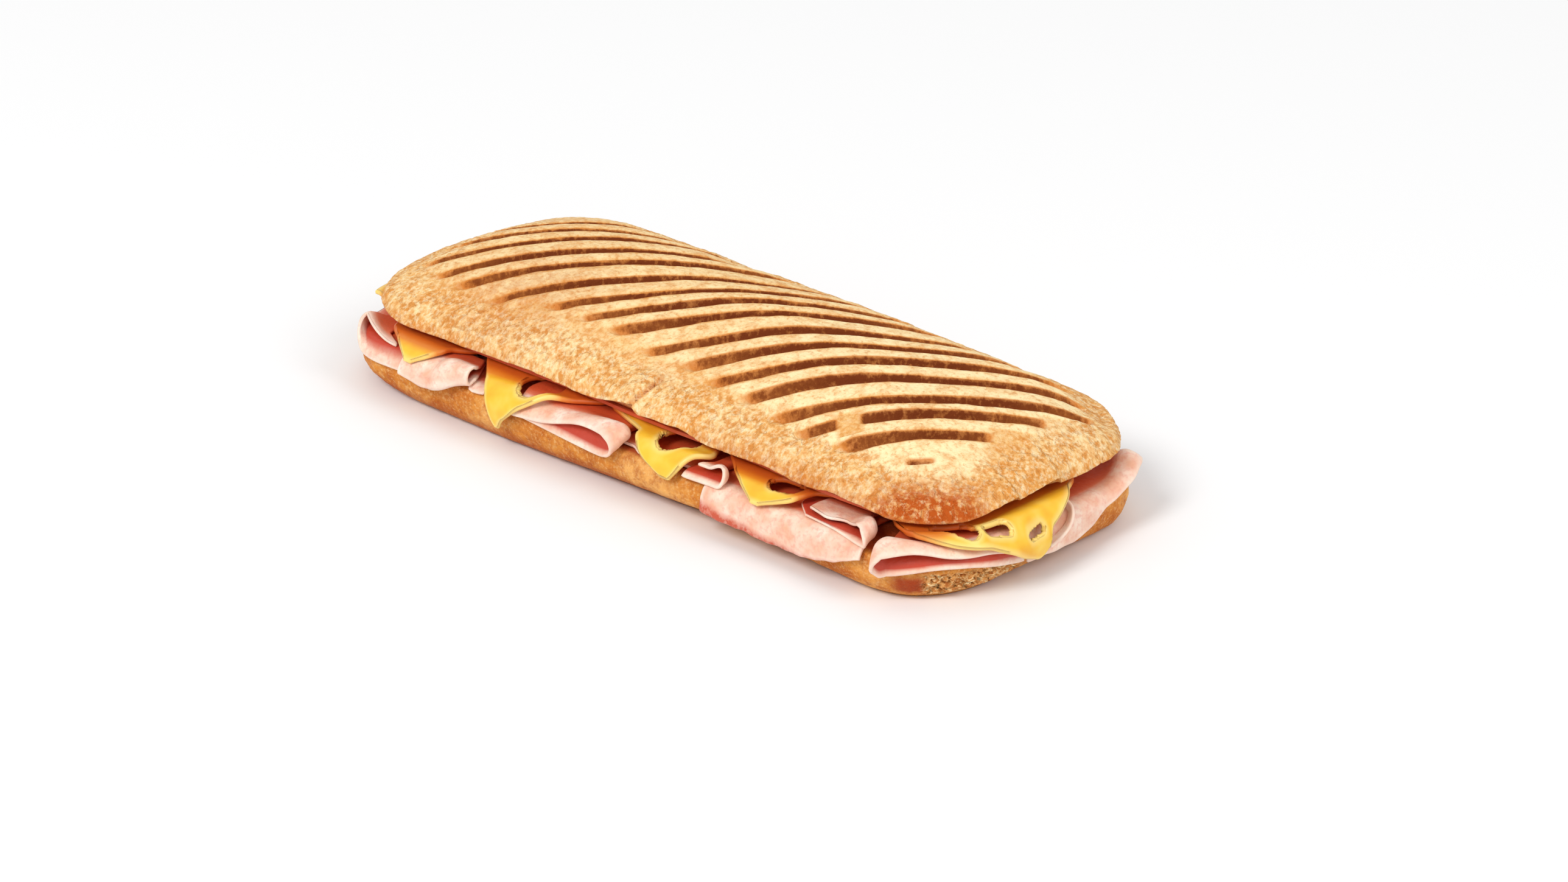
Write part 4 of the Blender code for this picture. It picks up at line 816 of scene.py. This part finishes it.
def build_cheese(mat):
    """The six cheese slices: four that run through and one at each end."""
    def cheese(name, grid, holes=(), shade=1.5):
        slab("slice_" + name, "cheese_" + name, grid, CHEESE, mat, holes, shade=shade)

    front = corner_side(
        ((-9.0, -104.0), (-4.7, -99.7), (0.8, -89.9), (4.4, -82.3), (5.0, -81.1)),
        ((-9.0, -66.0), (-4.3, -72.4), (-0.4, -72.4), (1.5, -73.6), (3.7, -76.8), (5.0, -80.0)),
        ((-9.0, LEVEL_D, LEVEL_D), (-6.5, LEVEL_D, LEVEL_D), (-2.0, 5.75, 5.75), (5.0, 5.45, 5.45)))
    back = corner_side(((-9.0, -104.0), (-4.0, -98.0), (3.0, -88.0)), ((-9.0, -62.0), (3.0, -84.0)),
                       (*PRESSED, (3.0, 3.6, 3.6)))
    cheese("left", through_grid(front, back, 12, 36), shade=4.0)

    front = corner_side(
        ((-9.0, -62.0), (-6.3, -59.6), (-2.6, -55.6), (2.6, -50.8), (6.6, -47.7), (10.8, -45.6),
         (13.2, -43.8)),
        ((-9.0, -14.0), (-4.5, -20.0), (-2.1, -23.2), (0.4, -26.8), (2.8, -30.0), (5.4, -34.2),
         (9.2, -39.5), (10.8, -41.2), (13.2, -42.8)),
        (*PRESSED, (0.0, 3.8, 5.9), (5.0, 3.2, 4.6), (9.7, 2.6, 3.2), (13.2, 2.4, 2.4)))
    back = corner_side(((-9.0, -60.0), (5.0, -52.0)), ((-9.0, -14.0), (-5.0, -38.0), (5.0, -49.0)),
                       (*PRESSED, (5.0, 2.8, 2.8)))
    cheese("long", through_grid(front, back, 28, 54, 22), ((-34.5, -4.6, 7.0, -34.5, -4.6, 7.0),))

    front = corner_side(
        ((-9.0, -11.0), (-5.5, 0.0), (-3.5, 6.6), (0.0, 8.0), (4.0, 14.0), (7.4, 24.0)),
        ((-9.0, 32.0), (-4.5, 34.5), (0.0, 32.0), (4.0, 29.0), (7.4, 26.0)),
        (*PRESSED, (0.0, 5.2, 5.8), (7.4, 2.6, 2.6)))
    back = corner_side(((-9.0, -9.0), (-6.0, 1.6), (8.0, 9.0)), ((-9.0, 32.0), (8.0, 13.0)),
                       (*PRESSED, (8.0, 2.6, 2.6)))
    cheese("middle", through_grid(front, back, 24, 54, 22), ((20.5, -5.2, 6.8, 20.5, -5.2, 6.8),), -4.0)

    front = corner_side(
        ((-9.0, 36.5), (-6.3, 40.0), (-2.2, 44.9), (1.1, 50.5), (3.0, 54.5), (4.6, 57.9)),
        ((-9.0, 76.0), (-7.3, 71.6), (-3.7, 70.6), (0.6, 68.5), (3.0, 63.5), (4.6, 59.2)),
        (*PRESSED, (4.6, 3.6, 3.6)))
    back = corner_side(((-9.0, 36.0), (-5.0, 50.0), (2.0, 57.0)),
                       ((-9.0, 84.0), (-5.0, 67.0), (2.0, 61.0)), (*PRESSED, (2.0, 3.8, 3.8)))
    cheese("right", through_grid(front, back, 16, 60, 24), ((60.8, -3.9, 3.6, 65.2, -4.6, 3.2),))

    near_stops = ((101.0, -9.0), (103.6, -6.6), (108.2, -3.5), (113.2, 1.1), (118.4, 2.6), (123.5, 3.9),
                  (128.3, 4.8), (132.9, 5.5), (138.1, 7.7), (144.0, 10.3), (150.1, 12.9), (152.4, 12.0),
                  (153.4, 8.9), (154.7, 6.2), (159.0, 4.9), (165.8, 2.5), (176.4, -3.2), (178.0, -5.0))

    def near_place(u, s):
        return mix(101.0, 178.0, u)

    def near_lift(u, s):
        return curve(((-9.0, LEVEL_D), (-3.0, LEVEL_D), (2.0, 6.3), (7.0, 5.3), (12.8, 3.8)), s)

    def near_reach(u):
        return rounded(near_stops, near_place(u, 0.0), 0.8)

    holes = ((119.6, -2.9, 2.3, 128.6, -0.4, 3.8), (134.3, 2.0, 1.5, 139.3, 2.6, 1.9),
             (146.4, 6.0, 1.1, 151.0, 5.5, 1.2))
    grid = side_grid(near_place, near_lift, near_reach, FLATTEN_DEPTH, 34, 170, 14)
    cheese("near_end", grid, holes, mix(5.0, 1.5, smooth(118.0, 134.0, grid[0])))

    front = corner_side(((-14.0, -122.0), (0.8, -130.0)), ((-14.0, -158.0), (0.8, -136.0)),
                       (*PRESSED, (0.8, 6.2, 6.2)))
    cheese("far_end", side_grid(*front, 14.0, 10, 30, 6))


def linear(colour):
    """Linear colour with alpha 1 of an sRGB one given from 0 to 255."""
    def one(v):
        v /= 255.0
        return v / 12.92 if v <= 0.04045 else ((v + 0.055) / 1.055) ** 2.4
    return (*[one(v) for v in colour], 1.0)


class Nodes:
    """Material whose shader nodes are made and wired in short calls."""

    def __init__(self, name):
        self.mat = bpy.data.materials.new(name)
        self.mat.use_nodes = True
        self.tree = self.mat.node_tree
        self.shader = self.tree.nodes["Principled BSDF"]

    def make(self, kind, **settings):
        node = self.tree.nodes.new(kind)
        for key, value in settings.items():
            setattr(node, key, value)
        return node

    def link(self, source, target):
        self.tree.links.new(source, target)

    def value(self, socket, value):
        """Set a socket to a constant, or link another socket to it."""
        if isinstance(value, (int, float, tuple)):
            socket.default_value = value
        else:
            self.link(value, socket)

    def attribute(self, name):
        return self.make("ShaderNodeAttribute", attribute_name=name).outputs["Fac"]

    def noise(self, size, detail, rough, stretch=(1.0, 1.0, 1.0), warp=0.0):
        """Noise whose wavelength is size in millimetres."""
        node = self.make("ShaderNodeTexNoise")
        values = {"Scale": 1.0 / MM / size, "Detail": detail, "Roughness": rough, "Distortion": warp}
        for key, value in values.items():
            node.inputs[key].default_value = value
        coord = self.make("ShaderNodeTexCoord").outputs["Object"]
        mapping = self.make("ShaderNodeMapping")
        mapping.inputs["Scale"].default_value = stretch
        self.link(coord, mapping.inputs["Vector"])
        self.link(mapping.outputs["Vector"], node.inputs["Vector"])
        return node.outputs["Fac"]

    def ramp(self, value, *stops):
        """Map value through (position, level) stops; a level is a float or a colour."""
        node = self.make("ShaderNodeValToRGB")
        self.value(node.inputs["Fac"], value)
        ramp = node.color_ramp
        while len(ramp.elements) < len(stops):
            ramp.elements.new(0.5)
        for element, (position, level) in zip(ramp.elements, stops):
            element.position = position
            element.color = (level, level, level, 1.0) if isinstance(level, float) else linear(level)
        return node.outputs["Color"]

    def math(self, operation, *values):
        node = self.make("ShaderNodeMath", operation=operation)
        for socket, value in zip(node.inputs, values):
            self.value(socket, value)
        return node.outputs[0]

    def blend(self, amount, a, b):
        """Colour between a and b."""
        node = self.make("ShaderNodeMix", data_type="RGBA")
        self.value(node.inputs[0], amount)
        for socket, colour in ((node.inputs[6], a), (node.inputs[7], b)):
            self.value(socket, linear(colour) if isinstance(colour, tuple) else colour)
        return node.outputs[2]

    def surface(self, colour, rough, specular, height, distance):
        """Finish the shader; height is the bump's, and distance its size in millimetres."""
        sockets = self.shader.inputs
        self.link(colour, sockets["Base Color"])
        sockets["Roughness"].default_value = rough
        sockets["Specular IOR Level"].default_value = specular
        node = self.make("ShaderNodeBump")
        node.inputs["Distance"].default_value = distance * MM
        self.link(height, node.inputs["Height"])
        self.link(node.outputs["Normal"], sockets["Normal"])

    def soft(self, weight, radius, scale):
        """Let light scatter below the surface."""
        sockets = self.shader.inputs
        sockets["Subsurface Weight"].default_value = weight
        sockets["Subsurface Radius"].default_value = radius
        sockets["Subsurface Scale"].default_value = scale


def crust_material():
    """Upper crust: pale and floury, streaked on its walls and charred in the grill marks, with painted
    shade in the crease and painted highlight on the ridges and the far-left end.
    """
    n = Nodes("crust")
    char, wall, browning_and_crease_shade, ridge, floor = map(n.attribute, ("char", "wall", "browning_and_crease_shade", "ridge", "floor"))
    patch = n.noise(22.0, 3.0, 0.6)
    mottle = n.noise(4.6, 4.0, 0.68)
    speck = n.noise(1.4, 4.0, 0.66, (1.0, 1.0, 0.6))
    base = n.ramp(patch, (0.34, (226, 162, 86)), (0.5, (237, 187, 118)), (0.66, (243, 205, 146)))
    base = n.blend(n.ramp(mottle, (0.46, 0.0), (0.64, 0.75)), base, (220, 144, 62))
    # Pale ridges between the marks: paler crust, with a painted highlight
    pale = n.math("MULTIPLY", ridge, n.ramp(mottle, (0.36, 0.9), (0.6, 0.35)))
    base = n.blend(pale, base, (255, 230, 176))
    streak = n.noise(2.6, 3.0, 0.6, (1.0, 1.0, 0.24), 0.5)
    streak = n.math("MULTIPLY", wall, n.ramp(streak, (0.5, 0.0), (0.6, 0.8)))
    base = n.blend(streak, base, (214, 142, 66))
    flour = n.ramp(speck, (0.46, 0.0), (0.7, 0.75))
    # More flour on the walls and at the far-left end, where it is a painted highlight
    flour = n.math("MULTIPLY", flour, n.math("MULTIPLY_ADD", wall, 0.6, 0.5))
    base = n.blend(flour, base, (253, 234, 190))
    base = n.blend(n.ramp(speck, (0.32, 0.55), (0.48, 0.0)), base, (206, 124, 52))
    # Browned patches, and the painted shade along the crease
    browning_and_crease_shade = n.math("MULTIPLY", browning_and_crease_shade, n.ramp(n.noise(2.2, 4.0, 0.75), (0.38, 0.3), (0.56, 1.0)))
    base = n.blend(browning_and_crease_shade, base, (184, 84, 24))
    base = n.blend(n.ramp(char, (0.02, 0.0), (0.4, 0.85)), base, (204, 120, 46))
    burnt = n.math("ADD", char, n.math("MULTIPLY", n.math("SUBTRACT", mottle, 0.5), 1.1))
    burnt = n.math("ADD", burnt, n.math("MULTIPLY", n.math("SUBTRACT", speck, 0.5), -1.1))
    # Mark floors: dark, lighter on the near side and where a mark starts
    core = n.math("MULTIPLY", floor, n.ramp(speck, (0.4, 0.35), (0.62, 0.9)))
    core = n.blend(core, (114, 50, 14), (186, 112, 50))
    base = n.blend(n.ramp(burnt, (0.42, 0.0), (0.95, 1.0)), base, core)
    height = n.math("ADD", n.noise(0.9, 3.0, 0.6, (1.0, 1.0, 0.6)), n.math("MULTIPLY", mottle, 1.2))
    height = n.math("ADD", height, n.math("MULTIPLY", streak, -0.7))
    n.surface(base, 0.75, 0.12, height, 0.4)
    return n.mat


def bottom_material():
    """Lower crust: browner, with torn crumb at its near end and painted shade on its top face."""
    n = Nodes("crust_bottom")
    torn, darkening_and_top_shade = map(n.attribute, ("torn", "darkening_and_top_shade"))
    patch = n.noise(20.0, 3.0, 0.6)
    mottle = n.noise(3.8, 4.0, 0.68)
    speck = n.noise(1.0, 3.0, 0.65)
    base = n.ramp(patch, (0.34, (198, 110, 34)), (0.5, (218, 140, 56)), (0.66, (236, 172, 94)))
    base = n.blend(n.ramp(mottle, (0.44, 0.0), (0.66, 0.75)), base, (176, 86, 22))
    base = n.blend(n.ramp(speck, (0.5, 0.0), (0.7, 0.5)), base, (246, 202, 136))
    crumb = n.noise(2.4, 4.0, 0.7, (1.0, 1.0, 1.6), 1.2)
    crumb = n.ramp(crumb, (0.36, (168, 86, 28)), (0.5, (226, 158, 84)), (0.62, (252, 222, 168)))
    base = n.blend(n.ramp(torn, (0.1, 0.0), (0.6, 1.0)), base, crumb)
    # Dark red-brown patch, toasting, and the top face's painted shade
    base = n.blend(n.math("MULTIPLY", darkening_and_top_shade, 0.9), base, (160, 54, 20))
    height = n.math("ADD", n.noise(0.8, 3.0, 0.6), n.math("MULTIPLY", mottle, 1.2))
    n.surface(base, 0.65, 0.18, height, 0.4)
    return n.mat


def ham_material(name, least_painted_shade=0.0):
    """Cooked ham, red with painted shade inside folds and between the breads; its second argument is the
    least painted shade anywhere on it.
    """
    n = Nodes(name)
    painted_shade, inner, rim = map(n.attribute, ("painted_shade", "inner", "rim"))
    broad = n.noise(20.0, 2.0, 0.5)
    cloud = n.noise(7.0, 3.0, 0.55)
    fibre = n.noise(1.5, 3.0, 0.6)
    base = n.ramp(cloud, (0.34, (234, 178, 148)), (0.5, (242, 202, 179)), (0.66, (250, 227, 209)))
    base = n.blend(n.ramp(broad, (0.45, 0.0), (0.7, 0.45)), base, (240, 172, 134))
    base = n.blend(n.ramp(fibre, (0.48, 0.0), (0.66, 0.5)), base, (230, 156, 134))
    # Pale edges: partly the ham's fat, partly a painted highlight
    base = n.blend(n.math("MULTIPLY", rim, 0.5), base, (252, 232, 216))
    sear = n.math("MULTIPLY", n.attribute("sear"), n.ramp(fibre, (0.35, 1.0), (0.6, 0.6)))
    base = n.blend(n.ramp(sear, (0.1, 0.0), (0.8, 0.95)), base, (196, 72, 38))
    # Painted shade: red on the inside faces of folds
    base = n.blend(n.ramp(inner, (0.1, 0.0), (0.8, 0.95)), base, (192, 52, 24))
    # Painted shade between the breads: red-orange, then deeper red
    painted_shade = n.math("MAXIMUM", painted_shade, least_painted_shade)
    base = n.blend(n.ramp(painted_shade, (0.2, 0.0), (0.6, 0.8)), base, (224, 106, 60))
    base = n.blend(n.ramp(painted_shade, (0.5, 0.0), (1.0, 0.9)), base, (212, 84, 42))
    n.surface(base, 0.4, 0.35, n.math("ADD", fibre, n.math("MULTIPLY", cloud, 1.5)), 0.18)
    n.soft(0.12, (0.9, 0.35, 0.2), 0.0015)
    return n.mat


def cheese_material():
    """Yellow cheese, with a painted highlight along its edges and painted shade, orange to red-brown,
    between the breads.
    """
    n = Nodes("cheese")
    painted_shade, rim = map(n.attribute, ("painted_shade", "rim"))
    cloud = n.noise(8.0, 2.0, 0.5)
    base = n.ramp(cloud, (0.3, (238, 172, 34)), (0.55, (246, 194, 54)), (0.75, (250, 210, 90)))
    # Painted highlight: pale along the edges and hole rims
    base = n.blend(n.math("MULTIPLY", rim, 0.5), base, (255, 232, 156))
    # Painted shade between the breads: orange, then red-brown
    base = n.blend(n.ramp(painted_shade, (0.12, 0.0), (0.55, 0.85)), base, (222, 122, 26))
    base = n.blend(n.ramp(painted_shade, (0.5, 0.0), (1.0, 0.9)), base, (210, 96, 30))
    n.surface(base, 0.34, 0.4, n.noise(2.4, 2.0, 0.5), 0.10)
    n.soft(0.15, (1.0, 0.55, 0.15), 0.002)
    return n.mat


def area_light(name, place, size, power):
    """Round lamp at a place, turned to the sandwich; metres and watts."""
    data = bpy.data.lights.new(name, "AREA")
    data.shape = "DISK"
    data.size = size
    data.energy = power
    obj = add(name, data)
    obj.location = place
    obj.rotation_mode = "QUATERNION"
    obj.rotation_quaternion = (Vector(AIM) - Vector(place)).to_track_quat("-Z", "Y")


def build_stage():
    """White floor, even white surroundings and two lamps."""
    mat = bpy.data.materials.new("floor")
    mat.use_nodes = True
    shader = mat.node_tree.nodes["Principled BSDF"]
    shader.inputs["Base Color"].default_value = (0.92, 0.92, 0.92, 1.0)
    shader.inputs["Roughness"].default_value = 0.9
    mesh = bpy.data.meshes.new("floor")
    side = 6.0
    corners = [(-side, -side, 0.0), (side, -side, 0.0), (side, side, 0.0), (-side, side, 0.0)]
    mesh.from_pydata(corners, [], [(0, 1, 2, 3)])
    mesh.materials.append(mat)
    floor = add("floor", mesh)

    world = bpy.data.worlds.new("studio")
    world.use_nodes = True
    background = world.node_tree.nodes["Background"]
    background.inputs["Color"].default_value = (1.0, 1.0, 1.0, 1.0)
    background.inputs["Strength"].default_value = 0.7
    bpy.context.scene.world = world
    bpy.context.scene.view_settings.view_transform = "Standard"
    area_light("key", (0.2, -2.4, 2.3), 1.3, 52.0)
    area_light("fill", (2.4, 0.2, 2.0), 1.5, 18.0)


def build_camera():
    """Camera at the place from which the photograph was taken."""
    az, el = AZIMUTH, ELEVATION
    back = Vector((math.sin(az) * math.cos(el), -math.cos(az) * math.cos(el), math.sin(el)))
    right = Vector((math.cos(az), math.sin(az), 0.0))
    up = back.cross(right)
    data = bpy.data.cameras.new("camera")
    data.sensor_width = SENSOR_WIDTH
    data.lens = FOCAL_PIXELS * SENSOR_WIDTH / IMAGE_PIXELS
    camera = add("camera", data)
    place = Matrix((right, up, back)).transposed().to_4x4()
    place.translation = Vector(AIM) + back * DISTANCE + right * SHIFT_RIGHT + up * SHIFT_UP
    camera.matrix_world = place
    bpy.context.scene.camera = camera


build_camera()
build_stage()
build_top_bread(crust_material())
build_bottom_bread(bottom_material())
build_ham(ham_material("ham"))
build_cheese(cheese_material())
# ham_upper shows only in the slot under the top bread's lip: a copy of the ham material in painted shade
# throughout
upper_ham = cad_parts["ham_upper"].data.materials
upper_ham.clear()
upper_ham.append(ham_material("ham_in_painted_shade", 0.9))
